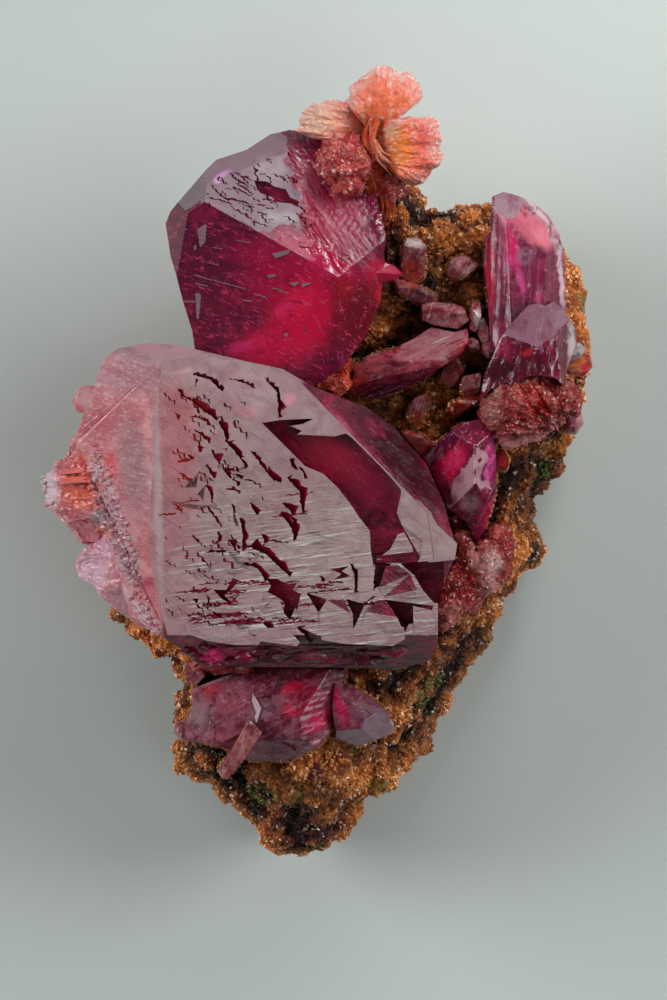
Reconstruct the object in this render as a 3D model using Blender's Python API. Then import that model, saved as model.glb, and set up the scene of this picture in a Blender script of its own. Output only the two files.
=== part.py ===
"""Roselite specimen: magenta crystals and sheaf rosettes on a brown, grainy matrix.

The specimen lies on the broken-flat back of its matrix, with its crystals facing up (+Z).
+Y runs to the rosette end and +X to the side with the tall blade. The origin is the middle
of the footprint, on the surface it rests on. Outlines and heights below are in millimetres.

Each crystal is a plan outline cut by facet planes. A facet is (x, y, z, rise along x, rise
along y): the point that it passes through and its two slopes.
"""

import math

import bmesh
import bpy
from mathutils import Matrix, Vector, noise

MM = 0.001
SEAT_GAP = 0.08  # between a crystal and what it grew against
TALLEST = 10.0  # an uncut blank is this high

# Matrix: a lumpy slab of gossan around this centre, flat underneath.
MATRIX_CENTRE = (0.7, -1.6)
MATRIX_OUTLINE = [
    (2.0, 6.5), (2.2, 6.95), (2.9, 6.95), (2.75, 6.2), (3.3, 6.25), (4.4, 6.4), (5.6, 5.9),
    (6.35, 4.9), (6.65, 4.3), (6.8, 3.3), (6.87, 2.3), (6.7, 1.5), (6.3, 0.5), (6.1, -0.3),
    (5.6, -0.9), (5.3, -1.7), (5.75, -2.15), (5.6, -2.6), (5.1, -2.7), (4.5, -3.7),
    (4.45, -4.5), (3.9, -5.0), (3.5, -5.7), (3.1, -6.3), (2.7, -7.0), (2.15, -7.6),
    (1.6, -8.4), (1.2, -8.5), (0.75, -9.2), (0.4, -9.85), (-0.9, -9.85), (-1.2, -9.3),
    (-1.8, -8.8), (-2.5, -8.2), (-3.55, -7.5), (-3.3, -6.9), (-3.5, -6.3), (-3.1, -5.6),
    (-3.9, -4.7), (-5.1, -3.9), (-4.9, -3.2), (-4.0, -2.0), (-3.3, 0.5), (-2.2, 2.2),
    (-0.6, 3.2), (0.4, 5.2),
]
MATRIX_SPOKES = 96
BASE_SHARE = 0.84  # of the outline, which is the flat that it rests on
LOWER_RINGS = [(0.92, 0.25), (0.97, 0.9), (0.99, 1.7), (1.0, 2.5)]  # share of the outline, height
UPPER_RINGS = 17
SHOULDER = 3.1  # height at which the side turns into the top
MATRIX_TOP = 4.75
LUMP_SIZE, LUMP_HEIGHT = 1.5, 0.7
PIT_SIZE, PIT_HEIGHT = 0.62, 0.3
DENT_SIZE, DENT_DEPTH = 1.9, 0.16  # hollows in the sides; depth as a share of the outline

CRYSTALS = {
    "right_blade": {
        "outline": [
            (4.5, 6.55), (4.75, 6.65), (5.1, 6.55), (5.45, 6.4), (5.85, 6.05), (6.1, 5.6),
            (6.22, 5.1), (6.25, 4.0), (6.25, 2.9), (5.9, 2.3), (4.6, 2.6), (4.45, 3.1),
            (4.4, 4.1), (4.3, 4.8), (4.35, 5.6), (4.48, 5.7),
        ],
        "tops": [
            (5.3, 4.6, 6.5, -0.16, -0.05), (4.7, 4.6, 6.4, 0.9, 0.0), (5.75, 5.6, 6.2, -0.8, -0.65),
            (5.2, 6.2, 6.3, 0.0, -1.0), (5.95, 4.2, 6.2, -1.2, 0.0),
        ],
        "undersides": [(5.2, 5.4, 4.1, 0.0, 1.0), (6.0, 4.0, 4.9, 1.6, 0.0)],
        "foot": 3.3,
    },
    "right_pyramid": {
        "outline": [
            (5.7, 4.0), (6.1, 3.82), (6.36, 3.5), (6.5, 3.2), (6.5, 2.9), (6.3, 2.3), (6.1, 1.5),
            (4.4, 1.4), (4.22, 1.65), (4.3, 2.1), (4.5, 2.55), (4.75, 3.1), (5.2, 3.62), (5.5, 3.92),
        ],
        "tops": [
            (5.3, 2.9, 7.3, 0.42, 0.1), (5.3, 2.9, 7.3, 0.1, -0.75), (5.75, 2.9, 7.35, -0.3, -0.2),
            (6.15, 3.0, 7.1, -1.3, -0.3), (5.6, 3.6, 6.9, -0.5, -1.2),
        ],
        "undersides": [(5.6, 3.4, 4.4, 0.0, 1.6), (6.2, 2.5, 5.0, 1.8, 0.0)],
        "foot": 3.4,
    },
    "ruby_point": {
        "outline": [
            (2.7, 0.05), (3.2, 0.45), (3.7, 0.85), (4.2, 0.95), (4.5, 0.6), (4.52, -0.3),
            (4.5, -0.9), (4.25, -1.7), (4.08, -2.0), (3.8, -1.5), (3.4, -1.2), (3.1, -1.0), (2.85, -0.5),
        ],
        "tops": [
            (4.05, 0.0, 7.0, 0.75, 0.15), (4.05, 0.0, 7.0, -0.9, 0.15), (4.05, -0.6, 6.9, 0.15, 0.7),
            (4.05, 0.5, 6.9, 0.1, -1.0),
        ],
        "undersides": [],
        "foot": 3.3,
    },
    "lower_cluster": {
        "outline": [
            (-3.2, -6.75), (-3.0, -6.2), (-3.0, -5.8), (-1.8, -5.32), (-0.7, -5.15), (0.7, -5.15),
            (0.75, -5.5), (0.38, -6.05), (0.4, -6.8), (0.05, -7.2), (-0.7, -7.55), (-1.7, -7.5),
            (-2.25, -7.2), (-3.2, -7.0),
        ],
        "tops": [
            (-1.5, -6.4, 6.1, 0.14, 0.22), (-1.5, -6.4, 6.1, 0.1, -0.45), (-0.3, -6.4, 6.2, -0.8, 0.1),
            (-2.6, -6.6, 5.8, 1.0, 0.2), (-1.3, -7.1, 5.9, 0.1, 1.4),
        ],
        "undersides": [(-2.2, -6.5, 3.5, -1.2, 0.0)],
        "foot": 3.0,
    },
    "lower_point": {
        "outline": [
            (0.55, -5.65), (0.9, -5.72), (1.35, -5.98), (1.8, -6.35), (1.96, -6.7), (1.88, -6.87),
            (1.1, -7.15), (0.6, -6.95), (0.5, -6.3),
        ],
        "tops": [
            (1.0, -6.4, 5.9, -0.2, -0.35), (1.0, -6.4, 5.9, 0.1, 0.3), (1.6, -6.6, 5.6, -0.7, 0.5),
            (1.2, -6.9, 5.6, 0.0, 1.3),
        ],
        "undersides": [(1.4, -6.5, 3.9, 1.6, 0.0)],
        "foot": 3.2,
    },
    "centre_blade": {
        "outline": [
            (0.75, 2.1), (1.5, 2.6), (2.1, 2.75), (2.95, 3.25), (3.55, 3.15), (3.82, 3.3),
            (3.82, 2.9), (3.6, 2.6), (2.85, 2.15), (2.1, 1.75), (1.5, 1.55), (0.9, 1.65),
        ],
        "tops": [
            (2.4, 2.45, 6.3, 0.1, 0.35), (2.4, 2.45, 6.3, 0.15, -0.9), (2.4, 2.2, 6.2, -0.1, 1.3),
            (3.3, 2.9, 6.4, -0.6, 0.3),
        ],
        "undersides": [(3.0, 2.7, 4.4, 0.7, 0.4)],
        "foot": 3.4,
    },
    "centre_plate": {
        "outline": [
            (2.75, 3.85), (3.0, 3.9), (3.4, 3.85), (3.72, 3.75), (3.85, 3.5), (3.6, 3.3),
            (3.0, 3.4), (2.75, 3.5),
        ],
        "tops": [(3.3, 3.6, 5.9, 0.25, 0.3), (3.3, 3.75, 5.9, 0.0, -1.2)],
        "undersides": [],
        "foot": 3.6,
    },
    "violet_plate": {
        "outline": [(2.0, 4.55), (2.5, 4.35), (3.0, 4.1), (3.05, 3.95), (2.6, 3.95), (2.2, 4.2)],
        "tops": [(2.5, 4.25, 5.7, 0.1, 0.5), (2.6, 4.3, 5.7, 0.0, -0.6)],
        "undersides": [],
        "foot": 3.6,
    },
    "stub_column": {
        "outline": [(2.25, 5.3), (2.35, 5.5), (2.6, 5.5), (2.75, 5.3), (2.72, 4.6), (2.5, 4.42), (2.2, 4.6)],
        "tops": [(2.5, 5.3, 6.1, 0.15, 0.6), (2.5, 5.3, 6.1, -0.2, -1.3)],
        "undersides": [],
        "foot": 3.8,
    },
    "white_blade": {
        "outline": [(3.92, 3.3), (3.9, 3.55), (4.0, 3.9), (4.12, 3.85), (4.14, 3.6), (4.04, 3.22)],
        "tops": [(4.0, 3.5, 6.0, 0.9, 0.5), (4.05, 3.75, 6.0, -0.6, -0.9)],
        "undersides": [],
        "foot": 3.6,
    },
    "pink_block": {
        "outline": [(3.68, 1.8), (3.75, 2.02), (4.15, 2.12), (4.12, 1.75), (4.0, 1.6), (3.8, 1.6)],
        "tops": [(3.9, 1.9, 5.7, 0.2, 0.2), (3.9, 1.72, 5.6, 0.0, 1.2)],
        "undersides": [],
        "foot": 3.4,
    },
    "red_prism": {
        "outline": [(3.15, 2.0), (3.3, 2.3), (3.6, 2.5), (3.7, 2.3), (3.58, 2.0), (3.35, 1.85)],
        "tops": [(3.4, 2.1, 5.5, 0.1, 0.4)],
        "undersides": [],
        "foot": 3.4,
    },
    "pink_prism": {
        "outline": [(2.35, 1.15), (2.55, 1.5), (2.8, 1.6), (2.88, 1.42), (2.62, 1.02), (2.45, 0.98)],
        "tops": [(2.6, 1.3, 5.7, 0.3, 0.3), (2.66, 1.3, 5.7, -0.9, 0.5)],
        "undersides": [],
        "foot": 3.4,
    },
    "fan_tip": {
        "outline": [(3.35, 4.72), (3.45, 4.98), (3.75, 5.08), (4.05, 4.85), (3.8, 4.62), (3.5, 4.58)],
        "tops": [(3.7, 4.8, 5.9, -0.35, 0.2), (3.6, 4.7, 5.9, 0.5, 0.9)],
        "undersides": [],
        "foot": 3.8,
    },
    "lower_splinter": {
        "outline": [(-1.62, -6.58), (-1.38, -6.85), (-1.75, -7.45), (-2.22, -7.95), (-2.36, -7.8), (-2.0, -7.3)],
        "tops": [(-1.9, -7.3, 6.55, 0.35, 0.45), (-1.8, -7.3, 6.55, -0.8, 0.3)],
        "undersides": [(-1.9, -7.3, 4.6, 0.9, 1.2)],
        "foot": 3.0,
    },
    "side_tablet": {
        "outline": [(6.25, 2.55), (6.32, 2.75), (6.62, 2.9), (6.76, 2.75), (6.62, 2.55), (6.4, 2.45)],
        "tops": [(6.5, 2.7, 6.5, -0.2, 0.4), (6.6, 2.7, 6.5, -1.2, 0.2)],
        "undersides": [(6.5, 2.7, 5.3, 1.5, 0.0)],
        "foot": 3.4,
    },
    "red_ledge": {
        "outline": [
            (2.05, 0.68), (2.43, 0.65), (2.75, 0.53), (2.98, 0.3), (2.8, 0.0), (2.43, 0.18), (2.13, 0.35),
        ],
        "tops": [(2.5, 0.4, 6.0, 0.1, 0.5)],
        "undersides": [],
        "foot": 3.3,
    },
    "thin_blade": {
        "outline": [(3.35, 1.2), (3.5, 1.4), (4.13, 1.63), (4.2, 1.53), (3.88, 1.33), (3.5, 1.13)],
        "tops": [(3.8, 1.4, 5.6, 0.15, 0.8), (3.8, 1.4, 5.6, 0.0, -0.8)],
        "undersides": [],
        "foot": 3.5,
    },
    "split_plate": {
        "outline": [(4.13, 3.4), (4.25, 3.5), (4.33, 3.3), (4.35, 3.0), (4.22, 2.93), (4.15, 3.1)],
        "tops": [(4.25, 3.2, 5.9, 0.4, 0.3)],
        "undersides": [],
        "foot": 3.7,
    },
    "crimson_chip": {
        "outline": [(4.6, 0.1), (4.73, 0.18), (4.83, -0.03), (4.78, -0.23), (4.63, -0.2)],
        "tops": [(4.7, 0.0, 5.45, 0.3, -0.4)],
        "undersides": [],
        "foot": 3.5,
    },
    "amber_chunk": {
        "outline": [(6.2, 2.48), (6.5, 2.68), (6.88, 2.58), (6.93, 2.33), (6.73, 2.13), (6.38, 2.18)],
        "tops": [(6.6, 2.3, 5.8, -0.3, 0.2)],
        "undersides": [(6.7, 2.4, 4.6, 1.2, 0.0)],
        "foot": 3.3,
    },
    "grey_plate": {
        "outline": [(-3.2, -5.13), (-2.88, -5.23), (-2.78, -5.43), (-2.98, -5.63), (-3.18, -5.53)],
        "tops": [(-3.0, -5.4, 5.3, 0.3, 0.4)],
        "undersides": [],
        "foot": 3.1,
    },
    "shade_crystal": {
        "outline": [
            (-0.3, -7.73), (-0.13, -7.6), (0.25, -7.73), (0.25, -7.98), (0.05, -8.13), (-0.2, -7.98),
        ],
        "tops": [(0.0, -7.8, 4.9, 0.3, 0.4)],
        "undersides": [],
        "foot": 2.6,
    },
    "ruby_buds": {
        "outline": [
            (-2.9, -5.15), (-2.75, -4.7), (-2.2, -4.55), (-1.5, -4.7), (-1.45, -5.05), (-1.9, -5.3),
            (-2.5, -5.35),
        ],
        "tops": [(-2.3, -5.0, 6.1, 0.3, 0.4), (-2.0, -5.0, 6.1, -0.5, 0.6), (-2.5, -4.9, 6.0, 0.9, 0.3)],
        "undersides": [(-2.3, -5.0, 4.3, -1.0, -0.6)],
        "foot": 3.4,
    },
}

# The big crystal and the lobes that grew out of its left side are one solid.
GREAT_BODY = {
    "outline": [
        (-5.25, 2.5), (-4.9, 2.75), (-4.1, 2.9), (-3.5, 2.85), (-2.8, 2.7), (-1.75, 2.45),
        (-0.8, 2.25), (0.0, 1.8), (1.3, 1.3), (2.0, 0.8), (2.8, -0.1), (3.25, -1.1), (3.55, -2.2),
        (3.5, -2.5), (3.1, -3.5), (3.1, -4.6), (2.9, -5.05), (2.1, -5.28), (0.4, -5.22),
        (-2.6, -5.2), (-3.8, -4.45), (-4.6, -3.9), (-5.0, -2.4), (-5.6, -0.6), (-5.95, 0.6), (-5.5, 1.8),
    ],
    "tops": [
        (-4.0, 0.0, 8.6, 0.45, 0.05), (-4.0, 0.0, 8.6, -0.17, 0.10), (-0.75, 2.3, 8.28, -1.0, -0.97),
        (0.0, -4.4, 7.48, -0.17, 1.2), (-3.0, 2.55, 8.7, 0.0, -0.8), (-4.6, -2.0, 8.1, 0.9, 0.35),
        (3.0, -2.6, 7.15, -0.9, 0.0),
    ],
    "undersides": [
        (-3.6, 0.0, 3.2, -1.1, 0.0), (0.0, 1.6, 3.4, 0.0, 1.4), (0.0, -4.0, 3.4, 0.0, -1.6),
        (2.2, -1.0, 3.4, 1.3, 0.4),
    ],
    "foot": 3.0,
}
GREAT_LOBES = {
    "upper_lobe": {
        "outline": [
            (-6.05, 0.45), (-6.5, -0.3), (-6.76, -0.4), (-6.85, -0.7), (-6.7, -1.1), (-6.4, -1.5),
            (-5.8, -2.05), (-5.1, -2.1), (-4.4, -1.0), (-4.6, 0.3), (-5.3, 0.9),
        ],
        "tops": [(-5.0, -0.5, 7.35, 0.4, 0.1), (-6.4, -0.6, 6.8, 1.4, 0.0), (-5.6, -1.6, 6.9, 0.2, 0.9)],
        "undersides": [(-5.2, -0.8, 4.9, -0.8, 0.0), (-5.4, -1.2, 5.0, -0.3, -0.8)],
        "foot": 4.3,
    },
    "lower_lobe": {
        "outline": [
            (-5.6, -2.15), (-5.9, -2.5), (-6.0, -2.72), (-5.8, -3.0), (-5.35, -3.4), (-4.4, -4.2),
            (-3.7, -4.4), (-3.4, -3.2), (-3.9, -1.8), (-5.0, -1.8),
        ],
        "tops": [(-4.6, -2.9, 7.25, 0.45, 0.3), (-5.6, -2.7, 6.6, 1.0, 0.2), (-4.8, -3.6, 6.7, 0.4, 1.0)],
        "undersides": [(-4.6, -3.0, 4.8, -0.7, -0.4)],
        "foot": 4.3,
    },
    "side_knob": {
        "outline": [(-5.75, 1.85), (-5.92, 1.72), (-6.07, 1.42), (-5.9, 1.15), (-5.4, 1.2), (-5.3, 1.8)],
        "tops": [(-5.8, 1.5, 6.9, 0.5, 0.2), (-5.95, 1.5, 6.8, 1.6, 0.0)],
        "undersides": [(-5.8, 1.5, 6.0, -0.8, 0.0)],
        "foot": 5.7,
    },
}

# The second big crystal, with the tongue on its right side.
UPPER_BODY = {
    "outline": [
        (-3.72, 5.9), (-3.6, 6.2), (-2.7, 7.25), (-2.45, 7.5), (-1.7, 7.75), (-1.1, 8.15),
        (-0.6, 8.25), (0.1, 8.1), (0.75, 7.6), (1.5, 6.8), (1.75, 5.7), (1.75, 4.8),
        (1.65, 3.9), (1.3, 3.1), (0.7, 2.4), (0.0, 1.9), (-1.0, 2.1), (-2.95, 2.6),
        (-3.05, 3.2), (-3.3, 4.0), (-3.45, 4.6), (-3.6, 5.1),
    ],
    "tops": [
        (-0.9, 5.4, 7.4, -0.215, -0.485),
        (-0.9, 5.4, 7.4, 0.20, 0.25),
        (-3.15, 6.2, 7.1, 0.85, -0.65),
        (-3.4, 5.0, 6.75, 1.6, 0.0),
        (1.2, 4.5, 7.0, -0.8, 0.25),
        (-0.6, 7.8, 6.1, 0.1, -1.3),
    ],
    "undersides": [
        (-2.0, 4.5, 3.2, -1.3, 0.0), (-0.5, 6.9, 3.6, 0.0, 1.3), (-1.5, 6.5, 3.6, -0.8, 0.8),
    ],
    "foot": 2.8,
}
UPPER_TONGUE = {
    "outline": [
        (0.93, 4.72), (1.18, 4.87), (1.75, 4.92), (2.03, 4.8), (2.18, 4.65), (1.93, 4.47),
        (1.58, 4.37), (1.28, 4.5), (0.93, 4.35),
    ],
    "tops": [(1.7, 4.65, 6.75, -0.1, 0.5), (1.7, 4.65, 6.75, -0.2, -0.7)],
    "undersides": [(1.9, 4.65, 5.6, 0.9, 0.0)],
    "foot": 5.2,
}

# Rosettes: rounded lobes given by outline, height of the rim, rise above it and depth below it.
TOP_ROSETTE = {
    "top_petal": (
        [
            (1.6, 7.85), (0.95, 8.5), (0.85, 9.05), (1.15, 9.55), (1.55, 9.82), (2.05, 9.8),
            (2.4, 9.5), (2.68, 9.05), (2.45, 8.7), (2.05, 8.2),
        ],
        5.7, 0.6, 0.7,
    ),
    "left_petal": (
        [
            (1.7, 7.7), (0.9, 7.75), (0.1, 7.95), (-0.42, 8.25), (-0.3, 8.75), (0.15, 9.0),
            (0.75, 9.0), (1.2, 8.6),
        ],
        5.6, 0.5, 0.6,
    ),
    "right_petal": (
        [
            (1.6, 7.6), (1.85, 8.3), (2.35, 8.6), (2.85, 8.55), (3.12, 8.1), (3.17, 7.6),
            (2.95, 7.1), (2.5, 6.85), (2.05, 7.0),
        ],
        5.9, 0.7, 0.8,
    ),
    "front_sheaf": (
        [
            (0.03, 7.5), (0.15, 7.85), (0.75, 8.05), (1.35, 8.0), (1.8, 7.6), (2.0, 7.1),
            (1.95, 6.6), (1.5, 6.2), (0.85, 6.3), (0.5, 6.25), (0.2, 6.9),
        ],
        6.4, 1.0, 1.9,
    ),
    "root": (
        [(1.0, 6.6), (1.5, 7.3), (2.1, 7.2), (2.3, 6.5), (1.75, 5.85), (1.35, 6.1)],
        5.4, 0.6, 1.9,
    ),
}
RIGHT_ROSETTE = (
    [
        (4.1, 1.6), (4.35, 1.72), (4.75, 2.1), (5.0, 2.15), (5.5, 2.32), (5.9, 2.22), (6.3, 2.1),
        (6.6, 1.85), (6.7, 1.6), (6.65, 1.3), (6.45, 1.1), (6.1, 0.95), (5.8, 0.7), (5.4, 0.45),
        (4.75, 0.32), (4.5, 0.5), (4.3, 0.6), (4.1, 0.85), (4.0, 1.2),
    ],
    6.9, 0.65, 2.1,
)
PINK_CRUST = (
    [
        (3.15, -1.35), (3.5, -1.35), (3.85, -1.65), (4.1, -2.15), (4.45, -1.85), (4.8, -1.55),
        (4.95, -2.15), (4.9, -2.9), (4.5, -3.4), (4.1, -3.65), (3.6, -4.0), (3.25, -4.22),
        (2.9, -3.9), (2.85, -3.0), (3.0, -2.2),
    ],
    5.2, 0.9, 1.7,
)
PALE_KNOBS = {
    "clear_knob": ([(6.3, 1.2), (6.65, 1.18), (6.72, 0.9), (6.55, 0.65), (6.3, 0.7)], 4.9, 0.45, 1.1),
    "pale_knob": (
        [(-3.2, -6.6), (-3.45, -6.65), (-3.5, -6.85), (-3.3, -7.05), (-3.1, -7.0)], 4.4, 0.4, 1.2,
    ),
    "upper_crumb": (
        [(3.8, 2.98), (3.95, 3.05), (4.12, 2.93), (4.12, 2.75), (3.95, 2.7), (3.8, 2.8)], 5.6, 0.35, 1.4,
    ),
    "lower_crumb": (
        [(4.23, 2.85), (4.43, 2.95), (4.63, 2.85), (4.6, 2.65), (4.38, 2.55), (4.23, 2.68)],
        5.7, 0.35, 1.5,
    ),
}
FIBRE_SHEAF = (
    [
        (-0.58, 2.28), (-0.43, 2.67), (-0.08, 2.9), (0.38, 2.78), (0.83, 2.48), (1.03, 2.18),
        (0.88, 1.83), (0.5, 1.63), (0.08, 1.68), (-0.3, 1.93),
    ],
    5.7, 0.9, 1.8,
)
# A lobe's rings: share of its outline, and of its rise or its depth.
LOBE_CROWN = [(1.0, 0.0), (0.9, 0.5), (0.68, 0.8), (0.36, 0.97)]
LOBE_UNDERSIDE = [(0.88, 0.22), (0.66, 0.5), (0.42, 1.0)]

FINISHES = {
    "roselite": ((0.42, 0.02, 0.13, 1.0), 0.12),
    "pale_roselite": ((0.68, 0.27, 0.32, 1.0), 0.2),
    "salmon_sheaf": ((0.83, 0.30, 0.22, 1.0), 0.35),
    "brown_pink_sheaf": ((0.45, 0.18, 0.17, 1.0), 0.5),
    "gossan": ((0.30, 0.13, 0.05, 1.0), 0.9),
}
PALE_ONES = {
    "centre_plate", "violet_plate", "stub_column", "white_blade", "pink_block", "pink_prism",
    "fan_tip", "lower_splinter", "side_tablet", "split_plate", "grey_plate",
}


def clear_scene():
    for thing in list(bpy.data.objects):
        bpy.data.objects.remove(thing)


def finish(name):
    """The material of that name, made once."""
    made = bpy.data.materials.get(name)
    if made is None:
        colour, roughness = FINISHES[name]
        made = bpy.data.materials.new(name)
        made.use_nodes = True
        shader = made.node_tree.nodes["Principled BSDF"]
        shader.inputs["Base Color"].default_value = colour
        shader.inputs["Roughness"].default_value = roughness
        shader.inputs["Metallic"].default_value = 0.0
    return made


def as_object(name, bm):
    """A bmesh becomes a scene object with outward faces, still in millimetres."""
    bmesh.ops.remove_doubles(bm, verts=bm.verts, dist=1e-4)
    bmesh.ops.recalc_face_normals(bm, faces=bm.faces)
    mesh = bpy.data.meshes.new(name)
    bm.to_mesh(mesh)
    bm.free()
    thing = bpy.data.objects.new(name, mesh)
    bpy.context.scene.collection.objects.link(thing)
    return thing


def widened(outline, grow):
    """A plan outline with every side moved outwards by the same amount."""
    if not grow:
        return outline
    points = [Vector(point) for point in outline]
    turning = sum(points[i - 1].cross(point) for i, point in enumerate(points))
    moved = []
    for i, point in enumerate(points):
        before = (point - points[i - 1]).normalized()
        after = (points[(i + 1) % len(points)] - point).normalized()
        outward = [Vector((side.y, -side.x)) * (1 if turning > 0 else -1) for side in (before, after)]
        corner = (outward[0] + outward[1]).normalized()
        moved.append(point + corner * grow / max(0.5, corner.dot(outward[0])))
    return moved


def prism(outline, low, high):
    """A closed upright prism over a plan outline."""
    bm = bmesh.new()
    floor = [bm.verts.new((x, y, low)) for x, y in outline]
    roof = [bm.verts.new((x, y, high)) for x, y in outline]
    stitch(bm, [floor, roof])
    return bm


def stitch(bm, rings):
    """Walls between neighbouring rings, and a face across each end."""
    count = len(rings[0])
    for lower, upper in zip(rings, rings[1:]):
        for i in range(count):
            j = (i + 1) % count
            bm.faces.new((lower[i], lower[j], upper[j], upper[i]))
    bm.faces.new(rings[0])
    bm.faces.new(rings[-1])
    bmesh.ops.recalc_face_normals(bm, faces=bm.faces)


def cleave(bm, facet, side, grow):
    """Cuts away what lies above a facet plane (side 1), or below it (-1), and closes the cut."""
    x, y, z, rise_x, rise_y = facet
    normal = (Vector((-rise_x, -rise_y, 1.0)) * side).normalized()
    everything = bm.verts[:] + bm.edges[:] + bm.faces[:]
    cut = bmesh.ops.bisect_plane(
        bm, geom=everything, plane_co=Vector((x, y, z)) + normal * grow, plane_no=normal,
        clear_outer=True,
    )
    rim = [part for part in cut["geom_cut"] if isinstance(part, bmesh.types.BMEdge)]
    if rim:
        bmesh.ops.contextual_create(bm, geom=rim)


def crystal(name, form, grow=0.0):
    """A faceted crystal: an outline blank cleaved by its upper and lower facets."""
    bm = prism(widened(form["outline"], grow), form["foot"] - grow, TALLEST)
    for facet in form["tops"]:
        cleave(bm, facet, 1, grow)
    for facet in form["undersides"]:
        cleave(bm, facet, -1, grow)
    return as_object(name, bm)


def lobe(name, form, grow=0.0):
    """A rounded lobe: rings of its outline drawn in towards the middle, above and below."""
    outline, rim, rise, depth = form
    outline = widened(outline, grow)
    middle_x = sum(x for x, _ in outline) / len(outline)
    middle_y = sum(y for _, y in outline) / len(outline)
    levels = [(share, rim - part * (depth + grow)) for share, part in reversed(LOBE_UNDERSIDE)]
    levels += [(share, rim + part * (rise + grow)) for share, part in LOBE_CROWN]
    bm = bmesh.new()
    rings = []
    for share, height in levels:
        rings.append([
            bm.verts.new((middle_x + (x - middle_x) * share, middle_y + (y - middle_y) * share, height))
            for x, y in outline
        ])
    stitch(bm, rings)
    return as_object(name, bm)


def reach(angle):
    """Distance from the matrix's centre to its outline in a plan direction."""
    centre = Vector(MATRIX_CENTRE)
    along = Vector((math.cos(angle), math.sin(angle)))
    furthest = 0.0
    for i, start in enumerate(MATRIX_OUTLINE):
        a = Vector(start) - centre
        side = Vector(MATRIX_OUTLINE[(i + 1) % len(MATRIX_OUTLINE)]) - Vector(start)
        turn = along.cross(side)
        if abs(turn) < 1e-9:
            continue
        distance = a.cross(side) / turn
        share = a.cross(along) / turn
        if distance > 0 and -1e-6 <= share <= 1 + 1e-6:
            furthest = max(furthest, distance)
    return furthest


def lumps(x, y, z):
    """Rise and fall of the grainy rock: broad mounds with small pits in them."""
    mound = noise.noise(Vector((x, y, z)) / LUMP_SIZE) * LUMP_HEIGHT
    pit = noise.noise(Vector((x + 7, y, z)) / PIT_SIZE) * PIT_HEIGHT
    return mound + pit


def matrix(name, form=None, grow=0.0):
    """The rock: flat below, with steep lumpy sides and an uneven top."""
    bm = bmesh.new()
    angles = [2 * math.pi * i / MATRIX_SPOKES for i in range(MATRIX_SPOKES)]
    reaches = [reach(angle) for angle in angles]

    def ring(share, height_at, dented=0.0):
        verts = []
        for angle, far in zip(angles, reaches):
            along = Vector((math.cos(angle), math.sin(angle), 0.0))
            dent = noise.noise(along * far / DENT_SIZE + Vector((0, 0, dented)))
            far_out = far * share * (1 - DENT_DEPTH * max(0.0, dent) * bool(dented))
            x = MATRIX_CENTRE[0] + along.x * far_out
            y = MATRIX_CENTRE[1] + along.y * far_out
            verts.append(bm.verts.new((x, y, height_at(x, y))))
        return verts

    rings = [ring(BASE_SHARE, lambda x, y: 0.0, dented=0.4)]
    for share, height in LOWER_RINGS:
        wavy = 0.3 * min(height, SHOULDER - height)
        rings.append(ring(
            share, lambda x, y, h=height, w=wavy: h + w * lumps(x, y, h),
            dented=(0.4 + height) if height < LOWER_RINGS[-1][1] else 0.0,
        ))
    for i in range(UPPER_RINGS):
        inward = i / (UPPER_RINGS - 1)
        climb = 1 - (1 - min(1.0, inward * 3.0)) ** 2
        height = SHOULDER + (MATRIX_TOP - SHOULDER) * climb
        rings.append(ring(0.99 - 0.95 * inward, lambda x, y, h=height: h + lumps(x, y, h)))
    stitch(bm, rings)
    return as_object(name, bm)


def grown_together(name, forms, make, grow=0.0):
    """One solid from parts that grew into each other."""
    parts = [make(part, form, grow) for part, form in forms.items()]
    whole = parts[0]
    whole.name = name
    for part in parts[1:]:
        boolean(whole, part, "UNION")
    bake_modifiers(whole)
    for part in parts[1:]:
        bpy.data.objects.remove(part)
    return whole


def intergrown(name, forms, grow=0.0):
    return grown_together(name, forms, crystal, grow)


def sheaf_rosette(name, forms, grow=0.0):
    return grown_together(name, forms, lobe, grow)


def boolean(thing, other, operation, solver="EXACT"):
    step = thing.modifiers.new(operation.lower() + "_" + other.name, "BOOLEAN")
    step.operation = operation
    step.solver = solver
    step.object = other
    other.hide_render = True
    other.display_type = "WIRE"


def bake_modifiers(thing):
    """The evaluated mesh becomes the piece's own mesh."""
    bpy.context.view_layer.update()
    evaluated = thing.evaluated_get(bpy.context.evaluated_depsgraph_get())
    thing.data = bpy.data.meshes.new_from_object(evaluated)
    thing.modifiers.clear()


def box_of(thing):
    corners = [v.co for v in thing.data.vertices]
    low = [min(c[i] for c in corners) for i in range(3)]
    high = [max(c[i] for c in corners) for i in range(3)]
    return low, high


def near(a, b):
    """True if the boxes of two pieces come within the seat gap of each other."""
    (low_a, high_a), (low_b, high_b) = box_of(a), box_of(b)
    room = 2 * SEAT_GAP
    return all(low_a[i] - room < high_b[i] and low_b[i] - room < high_a[i] for i in range(3))


def seat(thing, earlier):
    """Cuts a piece back from those that grew before it, each swollen by the seat gap."""
    cutters = [
        make("seat_of_" + other.name, form, SEAT_GAP)
        for other, make, form in earlier
        if near(thing, other)
    ]
    for cutter in cutters:
        # The exact solver loses the lumpy matrix after a dozen cuts, and the manifold one keeps it.
        boolean(thing, cutter, "DIFFERENCE", "MANIFOLD" if thing.name == "matrix" else "EXACT")
    bake_modifiers(thing)
    for cutter in cutters:
        bpy.data.objects.remove(cutter)


def centre(things):
    """Puts the origin under the middle of the whole, and turns millimetres into metres."""
    boxes = [box_of(thing) for thing in things]
    low = Vector([min(box[0][i] for box in boxes) for i in range(3)])
    high = Vector([max(box[1][i] for box in boxes) for i in range(3)])
    middle = (low + high) / 2
    move = Matrix.Translation((-middle.x, -middle.y, -low.z))
    for thing in things:
        thing.data.transform(Matrix.Scale(MM, 4) @ move)


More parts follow.
